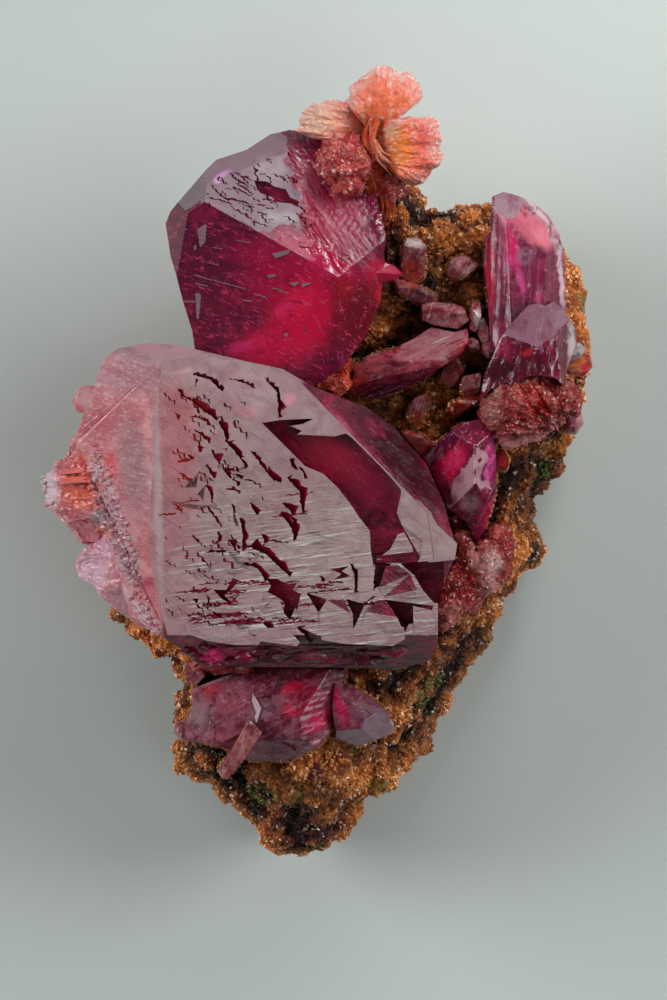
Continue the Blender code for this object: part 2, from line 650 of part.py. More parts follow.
def build():
    """Every piece in the order of growth: each is seated against those before it."""
    clear_scene()
    order = [
        ("great_crystal", intergrown, {"body": GREAT_BODY, **GREAT_LOBES}, "roselite"),
        ("fibre_sheaf", lobe, FIBRE_SHEAF, "brown_pink_sheaf"),
        ("upper_crystal", intergrown, {"body": UPPER_BODY, "tongue": UPPER_TONGUE}, "roselite"),
    ]
    for name, form in CRYSTALS.items():
        order.append((name, crystal, form, "pale_roselite" if name in PALE_ONES else "roselite"))
    order.append(("top_rosette", sheaf_rosette, TOP_ROSETTE, "salmon_sheaf"))
    order.append(("right_rosette", lobe, RIGHT_ROSETTE, "brown_pink_sheaf"))
    order.append(("pink_crust", lobe, PINK_CRUST, "brown_pink_sheaf"))
    for name, form in PALE_KNOBS.items():
        order.append((name, lobe, form, "pale_roselite"))
    order.append(("matrix", matrix, None, "gossan"))
    made = []
    for name, make, form, finish_name in order:
        thing = make(name, form)
        thing.data.name = name
        seat(thing, made)
        thing.data.materials.clear()
        thing.data.materials.append(finish(finish_name))
        made.append((thing, make, form))
    centre([thing for thing, _, _ in made])


build()
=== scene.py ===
# %% [markdown]
# # A roselite specimen
#
# This lesson dresses a mineral specimen: two big magenta roselite crystals, a dozen smaller
# ones and a few rosettes, grown on a slab of brown, sugary gossan. The solids are already
# modelled. Here each one gets its real surface: etched plates and hollows, growth lines,
# granular crusts, and materials that let light into the crystals.

# %% Load the frame
import math
import random
from functools import partial

import bmesh
import bpy
import numpy as np
from mathutils import Matrix, Vector, noise
from mathutils.bvhtree import BVHTree


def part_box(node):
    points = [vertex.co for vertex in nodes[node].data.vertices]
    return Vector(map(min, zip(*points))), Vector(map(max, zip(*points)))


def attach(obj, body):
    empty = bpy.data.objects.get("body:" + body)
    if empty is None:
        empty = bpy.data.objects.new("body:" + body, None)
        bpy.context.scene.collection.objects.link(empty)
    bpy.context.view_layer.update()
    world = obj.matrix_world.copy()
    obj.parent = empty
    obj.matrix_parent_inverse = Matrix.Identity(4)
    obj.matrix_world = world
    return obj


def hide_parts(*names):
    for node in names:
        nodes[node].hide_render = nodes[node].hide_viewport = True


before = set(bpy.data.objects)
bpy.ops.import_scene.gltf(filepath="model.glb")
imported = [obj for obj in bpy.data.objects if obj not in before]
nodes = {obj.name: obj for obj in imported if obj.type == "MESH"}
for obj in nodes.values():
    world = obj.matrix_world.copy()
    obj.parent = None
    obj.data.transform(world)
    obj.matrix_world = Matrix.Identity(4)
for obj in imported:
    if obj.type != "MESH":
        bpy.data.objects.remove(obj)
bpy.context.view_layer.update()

# %% [markdown]
# ## Units and the drawing sheet
#
# Meshes are worked in millimetres, because a specimen of 20 mm is awkward in metres, and each is
# brought down to metres when it is finished. Details are drawn on a sheet laid over the specimen,
# ruled at 40 lines to the millimetre and counted from its top left corner. The sheet is pinned
# to two places of the solids: the left tip of the great crystal and the top of the rosette.

# %% The sheet
MM = 0.001
LINES = 40
SHEET_WIDTH, SHEET_HEIGHT = 16.675, 25.0
TIP_FROM_LEFT, ROSETTE_FROM_TOP = 1.025, 1.655
sheet_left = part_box("great_crystal")[0].x / MM - TIP_FROM_LEFT
sheet_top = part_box("top_rosette")[1].y / MM + ROSETTE_FROM_TOP


def on_sheet(across, down):
    """A place on the sheet, in millimetres of the frame."""
    return sheet_left + across / LINES, sheet_top - down / LINES


def drawn(points):
    """Places in millimetres for points on the sheet."""
    return [Vector(on_sheet(*point)) for point in points]


def lines_of(place):
    """The sheet lines (across, down) of a place in millimetres."""
    return (place.x - sheet_left) * LINES, (sheet_top - place.y) * LINES


def middle_of(places):
    return sum(places, Vector((0, 0))) / len(places)


def along(points, count, shut=False):
    """Evenly spaced places, in millimetres, along a broken line drawn on the sheet."""
    line = drawn(points)
    if shut:
        line.append(line[0])
    lengths = [0.0]
    for a, b in zip(line, line[1:]):
        lengths.append(lengths[-1] + (b - a).length)
    made = []
    steps = count if shut else count - 1
    for i in range(count):
        goal = lengths[-1] * i / steps
        k = max(j for j in range(len(line) - 1) if lengths[j] <= goal + 1e-9)
        share = (goal - lengths[k]) / (lengths[k + 1] - lengths[k])
        made.append(line[k].lerp(line[k + 1], share))
    return made


print("sheet from", round(sheet_left, 3), round(sheet_top, 3))

# %% [markdown]
# ## Working a solid
#
# A copy of a solid is first welded, since its triangles are loose. `refine` halves long edges
# until a surface has enough points to hold detail. `roughen` moves each point along its normal
# by layers of noise, and keeps the sum as the attribute "relief", so that a material can colour
# tips and pits differently.

# %% Helpers for meshes
WELD = 0.0006  # mm, within which two corners are one
MOST_PASSES = 12  # of halving
LAYER_APART = 7.3  # keeps the noise of one layer clear of the next
MOSTLY_THIS_WAY = 0.985  # the cosine of ten degrees
SKY = 50.0  # mm, above everything


def welded(node):
    """A node's solid in millimetres, as a closed bmesh of triangles."""
    bm = bmesh.new()
    bm.from_mesh(nodes[node].data)
    bmesh.ops.scale(bm, vec=(1 / MM,) * 3, verts=bm.verts)
    bmesh.ops.remove_doubles(bm, verts=bm.verts, dist=WELD)
    return bm


def refine(bm, length, where=None):
    """Halve edges longer than length, longest first, where both ends pass the test."""
    for _ in range(MOST_PASSES):
        long_edges = [
            edge for edge in bm.edges
            if edge.calc_length() > length
            and (where is None or (where(edge.verts[0].co) and where(edge.verts[1].co)))
        ]
        if not long_edges:
            break
        for edge in sorted(long_edges, key=lambda e: -e.calc_length()):
            faces = list(edge.link_faces)
            corners = [next(v for v in face.verts if v not in edge.verts) for face in faces]
            _, middle = bmesh.utils.edge_split(edge, edge.verts[0], 0.5)
            for face, corner in zip(faces, corners):
                bmesh.utils.face_split(face, middle, corner)


def terrace(value):
    """Broad steps with steep risers."""
    whole = math.floor(value * 3)
    part = value * 3 - whole
    return (whole + part ** 5) / 3


FIELDS = {
    "soft": lambda p: noise.noise(p),
    "tips": lambda p: max(0.0, noise.noise(p)) ** 1.5,
    "steps": lambda p: terrace(noise.noise(p)),
    "ridges": lambda p: 0.5 - abs(noise.noise(p)),
    "knobs": lambda p: 0.5 - noise.voronoi(p)[0][0],
}


def roughen(bm, layers, floor=None, where=None, lift=0.0, about=None):
    """Move points along their normals. A layer is (field, sizes in mm, height in mm, turn about z).

    With about, a place on the sheet, the fields are laid round that place: angle, radius, height.
    """
    bm.normal_update()
    store = bm.verts.layers.float.get("relief") or bm.verts.layers.float.new("relief")
    centre = Vector(on_sheet(*about)) if about else None
    moves = []
    for vert in bm.verts:
        share = 1.0 if where is None else where(vert.co)
        spot = vert.co
        if centre:
            arm = vert.co.xy - centre
            spot = Vector((math.atan2(arm.y, arm.x), arm.length, vert.co.z))
        total = 0.0
        for number, (field, size, height, turn) in enumerate(layers):
            place = Matrix.Rotation(math.radians(-turn), 3, "Z") @ spot if turn else spot
            place = Vector((
                place.x / size[0], place.y / size[1], place.z / size[2] + LAYER_APART * number,
            ))
            total += FIELDS[field](place) * height
        moves.append(vert.normal * ((total + lift) * share))
        vert[store] = total
    for vert, move in zip(bm.verts, moves):
        vert.co += move
        if floor is not None:
            vert.co.z = max(vert.co.z, floor)


def in_scene(name, data):
    """A new object for a mesh, a lamp or a camera, linked to the scene."""
    thing = bpy.data.objects.new(name, data)
    bpy.context.scene.collection.objects.link(thing)
    return thing


def as_piece(name, mesh, node=None):
    """A mesh in metres becomes a piece, riding on the specimen's one body."""
    piece = in_scene(name, mesh)
    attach(piece, "root")
    if node:
        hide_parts(node)
    print(f"{name}: {len(mesh.polygons)} faces")


def finished(name, bm, material, node=None):
    """Turn a worked bmesh, in millimetres, into a flat-shaded piece."""
    mesh = bpy.data.meshes.new(name)
    bmesh.ops.scale(bm, vec=(MM,) * 3, verts=bm.verts)
    bm.to_mesh(mesh)
    bm.free()
    mesh.materials.append(material)
    for polygon in mesh.polygons:
        polygon.use_smooth = False
    as_piece(name, mesh, node)


# %% [markdown]
# Booleans make the hollows. Cutters that stay clear of each other can be cut in one go, so they are
# sorted into batches by their boxes, and each batch is one cut.

# %% Cut and join
def as_object(bm, name):
    mesh = bpy.data.meshes.new(name)
    bm.to_mesh(mesh)
    return in_scene(name, mesh)


def closed_shape(bm, rings):
    """Add a closed shape to a bmesh: rings of equal length, from the bottom one to the top one."""
    made = [[bm.verts.new(point) for point in ring] for ring in rings]
    count = len(made[0])
    bm.faces.new(list(reversed(made[0])))
    bm.faces.new(made[-1])
    for low, high in zip(made, made[1:]):
        for i in range(count):
            j = (i + 1) % count
            bm.faces.new((low[i], low[j], high[j], high[i]))


def shape_from(rings):
    bm = bmesh.new()
    closed_shape(bm, rings)
    bmesh.ops.triangulate(bm, faces=bm.faces)
    bmesh.ops.recalc_face_normals(bm, faces=bm.faces)
    return bm


def combine(bm, shapes, operation):
    """Cut or join many closed shapes (each a bmesh), in batches whose boxes stay clear.

    A shape that is None, because it couldn't be made, is passed over.
    """
    batches = []
    for shape in filter(None, shapes):
        points = np.array([vert.co for vert in shape.verts])
        low, high = points.min(0), points.max(0)
        for batch in batches:
            if all((low > top).any() or (high < bottom).any() for bottom, top in batch["boxes"]):
                break
        else:
            batch = {"boxes": [], "bm": bmesh.new()}
            batches.append(batch)
        batch["boxes"].append((low, high))
        spare = bpy.data.meshes.new("spare")
        shape.to_mesh(spare)
        batch["bm"].from_mesh(spare)
        bpy.data.meshes.remove(spare)
        shape.free()
    for batch in batches:
        thing, other = as_object(bm, "worked"), as_object(batch["bm"], "cutters")
        batch["bm"].free()
        modifier = thing.modifiers.new("cut", "BOOLEAN")
        modifier.operation = operation
        modifier.solver = "MANIFOLD"
        modifier.object = other
        other.hide_render = True
        bpy.context.view_layer.update()
        made = thing.evaluated_get(bpy.context.evaluated_depsgraph_get()).to_mesh()
        bm.clear()
        bm.from_mesh(made)
        for spare in (thing, other):
            mesh = spare.data
            bpy.data.objects.remove(spare)
            bpy.data.meshes.remove(mesh)
    if batches:
        print(operation.lower(), len(batches), "batches,", len(bm.faces), "faces")


def largest_facet(bm, towards):
    """(point, normal) of the largest triangle that looks about this way."""
    way = Vector(towards).normalized()
    bm.normal_update()
    looking = [face for face in bm.faces if face.normal.dot(way) > MOSTLY_THIS_WAY]
    best = max(looking, key=lambda face: face.calc_area())
    return best.calc_center_median(), best.normal.copy()


def height_on(plane, x, y):
    """The height of a plane, given as (point, normal), above a place."""
    point, normal = plane
    return point.z - (normal.x * (x - point.x) + normal.y * (y - point.y)) / normal.z


def top_of(bm):
    """A function that gives the height of the surface above a place, or None off the piece."""
    tree = BVHTree.FromBMesh(bm)

    def height(x, y):
        hit = tree.ray_cast(Vector((x, y, SKY)), Vector((0.0, 0.0, -1.0)))[0]
        return None if hit is None else hit.z

    return height


def inside(outline, across, down):
    """Whether a place on the sheet lies in an outline drawn on it."""
    found = False
    for (ax, ay), (bx, by) in zip(outline, outline[1:] + outline[:1]):
        if (ay > down) != (by > down) and across < ax + (bx - ax) * (down - ay) / (by - ay):
            found = not found
    return found


RAGGED, RAGGED_EVERY = 9, 0.28  # waviness of a skin's edge: sheet lines, and mm
SCRAP_LOW, SCRAP_HIGH, SCRAP_AREA = 0.012, 0.08, 0.12  # mm above the face, and mm2


def mark_skin(bm, planes, near, proud_of=None, within=None):
    """Faces that lie in one of the planes, or stand proud of another plane, get skin = 1."""
    skin = bm.faces.layers.float.new("skin")
    bm.normal_update()
    for face in bm.faces:
        centre = face.calc_center_median()
        across, down = lines_of(centre)
        shift = RAGGED * noise.noise(centre / RAGGED_EVERY)
        if within is None or inside(within, across + shift, down - shift):
            for plane in planes:
                above = centre.z - height_on(plane, centre.x, centre.y)
                if face.normal.dot(plane[1]) > 0.98 and abs(above) < near:
                    face[skin] = 1.0
        if proud_of and SCRAP_LOW < centre.z - height_on(proud_of, centre.x, centre.y) < SCRAP_HIGH:
            face[skin] = 1.0 if face.calc_area() < SCRAP_AREA else 0.0


# %% [markdown]
# Three kinds of small shape are cut from crystals or grown on them. A crack is a wedge: deep along
# its left edge, with a floor that rises to nothing. A slab is a thin plate with any outline. A
# chip is a small faceted lump.

# %% Cracks, slabs and chips
LEANS = (Vector((0.97, 0.24)), Vector((0.85, 0.5)), Vector((0.5, 0.85)), Vector((0.0, 1.0)))
CLEAR_OF = 0.3  # mm that a cutter stands above its surface
LEAST_REACH, FADES_AT = 0.012, 0.004  # mm, of a crack's far side: how near and how shallow


def crack(surface, edge, reaches, deep):
    """A wedge under a surface (a function giving its height), from a crisp left edge.

    The edge is a line of places in mm. Each reach is how far the floor rises away from its place.
    None where no lean keeps the wedge from crossing itself.
    """
    runs = [b - a for a, b in zip(edge, edge[1:])]
    way = next(
        (lean for lean in LEANS if min(run.cross(lean) / run.length for run in runs) > 0.2), None,
    )
    if way is None:
        return None
    floor, top = [], []
    for i, place in enumerate(edge):
        drop = deep * (0.5 if i in (0, len(edge) - 1) else 1.0)
        floor.append((place.x, place.y, surface(*place) - drop))
        top.append((place.x, place.y, surface(*place) + CLEAR_OF))
    for place, reach in reversed(list(zip(edge, reaches))):
        far = place + way * (reach + LEAST_REACH)
        floor.append((far.x, far.y, surface(*far) - FADES_AT))
        top.append((far.x, far.y, surface(*far) + CLEAR_OF))
    return shape_from([floor, top])


STEP_LINES = 1.9  # the sheet lines between two corners of a crack
KINKS = (0.5, 0.25, 0.0)  # how far a corner strays; calmer where a crack would cross itself
TONGUES = (0.35, 0.6, 0.9, 1.55)  # lengths of the far side's tongues, as shares of the width


def hollow(surface, points, width, dice, depth=0.17, widen=2.1):
    """A kinked crack through two or three places on the sheet, with tongues on its far side."""
    places = drawn(points)
    legs = len(places) - 1
    length = sum((b - a).length for a, b in zip(places, places[1:]))
    count = max(4, round(length * LINES / STEP_LINES))
    for shake in KINKS:
        edge, reaches = [], []
        for i in range(count + 1):
            leg = min(int(i * legs / count), legs - 1)
            spot = places[leg].lerp(places[leg + 1], i * legs / count - leg)
            if 0 < i < count:
                spot += Vector((dice.gauss(0, shake), dice.gauss(0, shake))) / LINES
            swell = max(0.3, abs(math.sin(math.pi * i / count)) ** 0.5)
            edge.append(spot)
            reaches.append(width * widen / LINES * swell * dice.choice(TONGUES))
        wedge = crack(surface, edge, reaches, depth * min(1.6, 0.45 + width / 8))
        if wedge:
            return wedge
    return None


def pit(surface, outline, deep, lean=(0.0, 0.0)):
    """A flat-floored cut: deep below its outline's centre, with the floor leaning as given."""
    places = drawn(outline)
    centre = middle_of(places)
    floor = []
    for p in places:
        drop = deep - lean[0] * (p.x - centre.x) - lean[1] * (p.y - centre.y)
        floor.append((p.x, p.y, surface(*p) - max(0.02, drop)))
    return shape_from([floor, [(p.x, p.y, surface(*p) + 0.5) for p in places]])


def slab(surface, outline, top, bottom, lean=(0.0, 0.0)):
    """A plate standing on a surface: top and bottom are heights from it."""
    places = drawn(outline)
    centre = middle_of(places)
    low = [(p.x, p.y, surface(*p) + bottom) for p in places]
    high = [
        (p.x, p.y, surface(*p) + top + lean[0] * (p.x - centre.x) + lean[1] * (p.y - centre.y))
        for p in places
    ]
    return shape_from([low, high])


def bar(surface, start_point, end_point, width, top=0.02, bottom=-0.1):
    """A thin straight slab between two points of the sheet, or None where it leaves the piece."""
    a, b = Vector(start_point), Vector(end_point)
    side = Vector((-(b - a).y, (b - a).x)).normalized() * width / 2
    outline = [a + side, b + side, b - side, a - side]
    if any(surface(*on_sheet(*corner)) is None for corner in outline):
        return None
    return slab(surface, outline, top, bottom)


CHIP_RINGS = ((0.7, -1.2), (1.0, -0.1), (0.75, 0.6), (0.3, 1.0))  # (share of the size, of the rise)


def chip(dice, place, height, size, rise):
    """A faceted lump about a place in mm: size across, standing rise above the height."""
    turn, corners = dice.uniform(0, 6.28), dice.choice((5, 6))
    stretch = dice.uniform(1.1, 2.4)
    lean = Vector((dice.uniform(-0.3, 0.3), dice.uniform(-0.3, 0.3)))
    rings = []
    for share, z in CHIP_RINGS:
        ring = []
        for i in range(corners):
            angle = turn + 6.283 * i / corners
            arm = Vector((math.cos(angle) * stretch, math.sin(angle))) * size * share / 2
            arm *= 0.85 + 0.3 * ((i * 7 + corners) % 3) / 2
            tilt = arm.dot(lean)
            ring.append((place.x + arm.x, place.y + arm.y, height + z * rise + tilt))
        rings.append(ring)
    return shape_from(rings)


def chips(bm, dice, line, count, size, rise, spread):
    """Chips strewn along a line on the sheet, each standing on the surface there."""
    surface = top_of(bm)
    made = []
    for place in along(line, count):
        place = place + Vector((dice.gauss(0, spread), dice.gauss(0, spread))) / LINES
        height = surface(*place)
        if height is not None:
            across = dice.uniform(*size) / LINES
            made.append(chip(dice, place, height, across, dice.uniform(*rise)))
    return made


print("helpers for meshes ready")

# %% [markdown]
# ## Colours and nodes
#
# Colours are written as sRGB hex codes and turned to the linear values that the shader needs.
# `add` puts one node in a material. Two patterns come back in every material here: a soft stain
# at one place, and a patchy mask made from noise, and both can be longer one way than another.
# `painted` lays coats of colour over a ground, each through its own masks.

# %% Helpers for materials
def shade(colour):
    """sRGB hex to linear RGBA; another node's colour goes through unchanged."""
    if not isinstance(colour, str):
        return colour
    parts = [int(colour[i:i + 2], 16) / 255 for i in (1, 3, 5)]
    return [p / 12.92 if p <= 0.04045 else ((p + 0.055) / 1.055) ** 2.4 for p in parts] + [1.0]


def add(tree, kind, inputs=None, **settings):
    """Add one node. An input is a value or another node's output."""
    made = tree.nodes.new(kind)
    for name, value in settings.items():
        setattr(made, name, value)
    for socket, value in (inputs or {}).items():
        if isinstance(value, bpy.types.NodeSocket):
            tree.links.new(value, made.inputs[socket])
        else:
            made.inputs[socket].default_value = value
    return made


def start(name):
    """A new material: its tree, its shader and a socket that gives places in millimetres."""
    material = bpy.data.materials.new(name)
    material.use_nodes = True
    tree = material.node_tree
    shader = tree.nodes["Principled BSDF"]
    place = add(tree, "ShaderNodeTexCoord").outputs["Object"]
    scaled = add(tree, "ShaderNodeVectorMath", {0: place, "Scale": 1 / MM}, operation="SCALE")
    return material, tree, shader, scaled.outputs[0]


def painted(tree, ground, *coats):
    """Coats of colour over a ground. A coat is (colour, mask, mask...), and its masks multiply."""
    result = shade(ground)
    for colour, mask, *others in coats:
        for other in others:
            mask = add(tree, "ShaderNodeMath", {0: mask, 1: other}, operation="MULTIPLY").outputs[0]
        result = add(
            tree, "ShaderNodeMix", {0: mask, 6: result, 7: shade(colour)}, data_type="RGBA",
        ).outputs[2]
    return result


def dress(tree, shader, colour, heights=(), depth=0.01, **values):
    """Give the shader its colour, other values, and bumps: masks that add up to a height in mm."""
    total = None
    for height in heights:
        if total is not None:
            height = add(tree, "ShaderNodeMath", {0: total, 1: height}).outputs[0]
        total = height
    if total is not None:
        bump = add(tree, "ShaderNodeBump", {"Height": total, "Distance": depth * MM})
        tree.links.new(bump.outputs[0], shader.inputs["Normal"])
    values["Base_Color"] = shade(colour)
    for name, value in values.items():
        socket = shader.inputs[name.replace("_", " ")]
        if isinstance(value, bpy.types.NodeSocket):
            tree.links.new(value, socket)
        else:
            socket.default_value = value


def patches(tree, place, size, low, high, detail=3.0, turn=0.0, seed=0.0, top=1.0):
    """A patchy mask. size is one patch along x, y and z in mm, turned about z by turn degrees."""
    size = size if isinstance(size, tuple) else (size,) * 3
    moved = add(
        tree, "ShaderNodeMapping",
        {"Vector": place, "Location": (seed, seed, 0.0), "Rotation": (0.0, 0.0, math.radians(turn)),
         "Scale": size},
        vector_type="TEXTURE",
    )
    field = add(
        tree, "ShaderNodeTexNoise",
        {"Vector": moved.outputs[0], "Scale": 1.0, "Detail": detail, "Roughness": 0.62},
    )
    return add(
        tree, "ShaderNodeMapRange",
        {"Value": field.outputs[0], "From Min": low, "From Max": high, "To Max": top},
        interpolation_type="SMOOTHSTEP",
    ).outputs[0]


def stain(tree, place, centre, size, turn=0.0, soft=0.7, top=1.0):
    """A mask that is one soft-edged spot. centre is on the sheet, size its two half widths in mm."""
    x, y = on_sheet(*centre)
    moved = add(
        tree, "ShaderNodeMapping",
        {"Vector": place, "Location": (x, y, 0.0), "Rotation": (0.0, 0.0, math.radians(turn)),
         "Scale": (size[0], size[1], 1000.0)},
        vector_type="TEXTURE",
    )
    far = add(tree, "ShaderNodeVectorMath", {0: moved.outputs[0]}, operation="LENGTH")
    return add(
        tree, "ShaderNodeMapRange",
        {"Value": far.outputs["Value"], "From Min": 1.0, "From Max": 1.0 - soft, "To Max": top},
        interpolation_type="SMOOTHSTEP",
    ).outputs[0]


def wavering(tree, place, size, reach):
    """Places pushed about by noise, so that a stain's edge is ragged."""
    field = add(tree, "ShaderNodeTexNoise", {"Vector": place, "Scale": 1 / size, "Detail": 4.0})
    centred = add(
        tree, "ShaderNodeVectorMath", {0: field.outputs["Color"], 1: (0.5, 0.5, 0.5)},
        operation="SUBTRACT",
    )
    pushed = add(
        tree, "ShaderNodeVectorMath", {0: centred.outputs[0], "Scale": 2 * reach}, operation="SCALE",
    )
    return add(tree, "ShaderNodeVectorMath", {0: place, 1: pushed.outputs[0]}).outputs[0]


def stained(tree, place, ground, stains):
    """Soft stains over a ground: (colour, place on the sheet, half widths, turn, strength)."""
    coats = [
        (colour, stain(tree, place, centre, size, turn=turn, top=strength))
        for colour, centre, size, turn, strength in stains
    ]
    return painted(tree, ground, *coats)


def between(tree, mask, bare, full):
    """A number that goes from bare to full as the mask comes in."""
    return add(
        tree, "ShaderNodeMapRange",
        {"Value": mask, "From Min": 0.0, "From Max": 1.0, "To Min": bare, "To Max": full},
    ).outputs[0]


print("helpers for materials ready")

# %% [markdown]
# ## Roselite
#
# Roselite is a cobalt arsenate: deep crimson to magenta, glassy, with a high refractive index
# near 1.7. Light that goes in comes back crimson or hot pink where it finds a flaw, and nearly
# black-red where it doesn't, and here much of that glow is painted into the colours. An etched
# growth face is covered by a thin grey-mauve skin of fine steps, which reflects a lamp like brushed
# glass, and part of that sheen is painted into the skin. Each crystal below is the same mineral,
# so one function starts them all, and what differs is where the painted glow, the flaws and the
# skin lie.

# %% Roselite, the common start
ROSELITE_IOR = 1.70
DEEP_PASS = "#E43AB4"  # what a thick crystal lets through
PALE_PASS = "#FCCEDD"
DEEP_DENSITY, PALE_DENSITY = 1100.0, 450.0  # absorption per metre of the light's way
BACK_GLOSS = 0.3  # etched and flawed faces give back less light than polished glass


def roselite(name, pale=False):
    """A glassy crystal: light takes on the passing colour along its way through the volume."""
    material, tree, shader, place = start(name)
    shader.inputs["IOR"].default_value = ROSELITE_IOR
    shader.inputs["Specular IOR Level"].default_value = BACK_GLOSS
    colour, density = (PALE_PASS, PALE_DENSITY) if pale else (DEEP_PASS, DEEP_DENSITY)
    body = add(tree, "ShaderNodeVolumeAbsorption", {"Color": shade(colour), "Density": density})
    tree.links.new(body.outputs[0], tree.nodes["Material Output"].inputs["Volume"])
    return material, tree, shader, place


CRUMBLY = [  # where the ridge of pale crumbs runs: place, half widths, turn
    ((105, 490), (0.36, 1.3), 20.0), ((125, 550), (0.4, 1.3), 14.0), ((149, 620), (0.26, 0.8), 38.0),
]


def great_crystal_finish():
    """Etched roselite: mauve-grey plates, partly painted sheen, on a crimson body; painted red-orange glow
    at the left.
    """
    material, tree, shader, place = roselite("etched_roselite")
    pushed = wavering(tree, place, 0.5, 0.25)
    close = wavering(tree, place, 0.2, 0.1)
    skin = add(tree, "ShaderNodeAttribute", attribute_name="skin").outputs["Fac"]
    # The body: dark crimson in the hollows, painted orange-red glow towards the left, magenta on the side
    # face.
    body = painted(tree, "#6A0A2A", ("#A01440", patches(tree, place, 0.5, 0.4, 0.65)))
    # Among these stains the orange-reds on the left are painted glow, and the crimson at (434, 462) on the
    # side face is a painted glint.
    body = stained(tree, pushed, body, [
        ("#B01838", (250, 520), (2.6, 3.8), 0, 0.75), ("#B8203E", (330, 455), (2.0, 0.7), -45, 0.8),
        ("#7A0C34", (350, 500), (1.0, 1.4), -45, 0.6), ("#E04030", (185, 480), (1.0, 3.4), 0, 0.9),
        ("#FF5A30", (170, 500), (0.7, 1.8), 0, 0.9), ("#40041C", (405, 450), (3.0, 1.1), -48, 1.0),
        ("#A81444", (434, 462), (0.7, 0.35), -50, 0.7), ("#901440", (375, 428), (0.6, 0.25), -40, 0.6),
        ("#C8402C", (420, 615), (0.6, 0.3), 10, 0.7), ("#B8184C", (215, 655), (0.9, 0.35), 0, 0.8),
        ("#C83C5C", (200, 645), (0.6, 0.25), 0, 0.6),
    ])
    body = stained(tree, pushed, body, [
        ("#D8607A", (345, 425), (0.5, 0.12), -45, 0.6), ("#A02850", (372, 455), (0.9, 0.2), -46, 0.5),
    ])
    far_flecks = patches(tree, place, (0.3, 0.05, 0.2), 0.62, 0.7, turn=-45.0, seed=13.0, top=0.45)
    side_face = stain(tree, place, (360, 470), (3.4, 1.5), turn=-45)
    body = painted(tree, body, ("#E07A9C", far_flecks, side_face))
    # Growth lines on the low band: pale threads on dark magenta.
    threads = patches(tree, place, (1.6, 0.05, 0.3), 0.55, 0.64, detail=2.0, turn=2.0, seed=3.0, top=0.3)
    band = stain(tree, close, (300, 656), (3.7, 0.62), soft=0.2)
    body = painted(
        tree, body, ("#4A0418", band),
        ("#8A1030", band, patches(tree, place, (0.7, 0.25, 0.4), 0.48, 0.6)),
        ("#B04868", threads, band),
    )
    body = stained(tree, close, body, [
        ("#9A1040", (228, 655), (1.0, 0.3), 0, 0.8), ("#FF2A80", (212, 657), (0.4, 0.25), 0, 0.9),
    ])
    # West of the plates: a mauve face above, and crumbly lobes below, from an orange-red that is painted
    # glow to lilac.
    west = stain(tree, close, (-34, 520), (5.0, 30.0), soft=0.03)
    lobes = painted(tree, "#E07C86", ("#F8A8AC", patches(tree, place, 0.4, 0.42, 0.62, detail=5.0)))
    lobes = stained(tree, close, lobes, [
        ("#C4848E", (135, 375), (1.6, 0.8), 0, 0.8), ("#D87078", (112, 415), (1.3, 0.6), 0, 0.8),
        ("#CE6468", (92, 425), (0.5, 1.0), -15, 0.8), ("#B88088", (134, 470), (0.6, 2.0), 6, 0.9),
        ("#F0646C", (110, 466), (0.35, 0.5), 0, 0.9), ("#FF7068", (80, 484), (0.75, 1.0), -15, 1.0),
        ("#FF7A54", (80, 494), (0.55, 0.16), -8, 0.95), ("#FF8458", (84, 505), (0.5, 0.13), -12, 0.95),
        ("#FF6A48", (72, 478), (0.4, 0.14), 5, 0.9), ("#FF8A64", (90, 459), (0.5, 0.09), -8, 0.9),
        ("#D01C50", (99, 473), (0.2, 0.28), 0, 0.95), ("#B8A0A8", (99, 517), (0.3, 0.35), 10, 0.85),
        ("#FF8464", (105, 532), (0.5, 0.1), -22, 0.9), ("#F4D4D8", (58, 526), (0.5, 0.25), -45, 0.9),
        ("#F4DCE4", (49, 488), (0.32, 0.75), 12, 0.9), ("#F0C0D4", (92, 572), (0.7, 0.8), 0, 0.85),
        ("#F4B8D4", (104, 548), (0.4, 0.4), 0, 0.8), ("#F0DCE4", (104, 604), (0.75, 0.14), -38, 0.95),
        ("#D8A8B8", (120, 598), (0.4, 0.5), 0, 0.7), ("#C03A5C", (150, 582), (0.3, 0.25), 0, 0.8),
        ("#C86880", (165, 648), (0.6, 0.2), -20, 0.8), ("#E8B8C0", (84, 398), (0.3, 0.4), 0, 0.8),
    ])
    lilac = painted(tree, "#E0C0C4", ("#C45C74", patches(tree, place, 0.1, 0.48, 0.6, seed=4.0)))
    crumbs = patches(tree, place, (0.08, 0.3, 0.2), 0.36, 0.5, turn=-14.0, detail=4.0)
    ridge = [
        (lilac, stain(tree, close, centre, size, turn=turn, soft=0.5), crumbs)
        for centre, size, turn in CRUMBLY
    ]
    flakes = patches(tree, place, (0.2, 0.03, 0.1), 0.6, 0.66, turn=-20.0, seed=8.0, top=0.7)
    lobes = painted(tree, lobes, *ridge, ("#F4E8EC", flakes))
    body = painted(tree, body, (lobes, west))
    # The top bevel wears the same skin as the plates.
    over_top = stain(tree, close, (205, 352), (3.6, 0.62), turn=-9.0, soft=0.25)
    body = painted(tree, body, ("#B88C94", over_top, patches(tree, place, 0.5, 0.2, 0.5)))
    seam = stain(tree, close, (158, 490), (0.16, 4.2), turn=2.0)
    body = painted(tree, body, ("#C09A9E", seam))
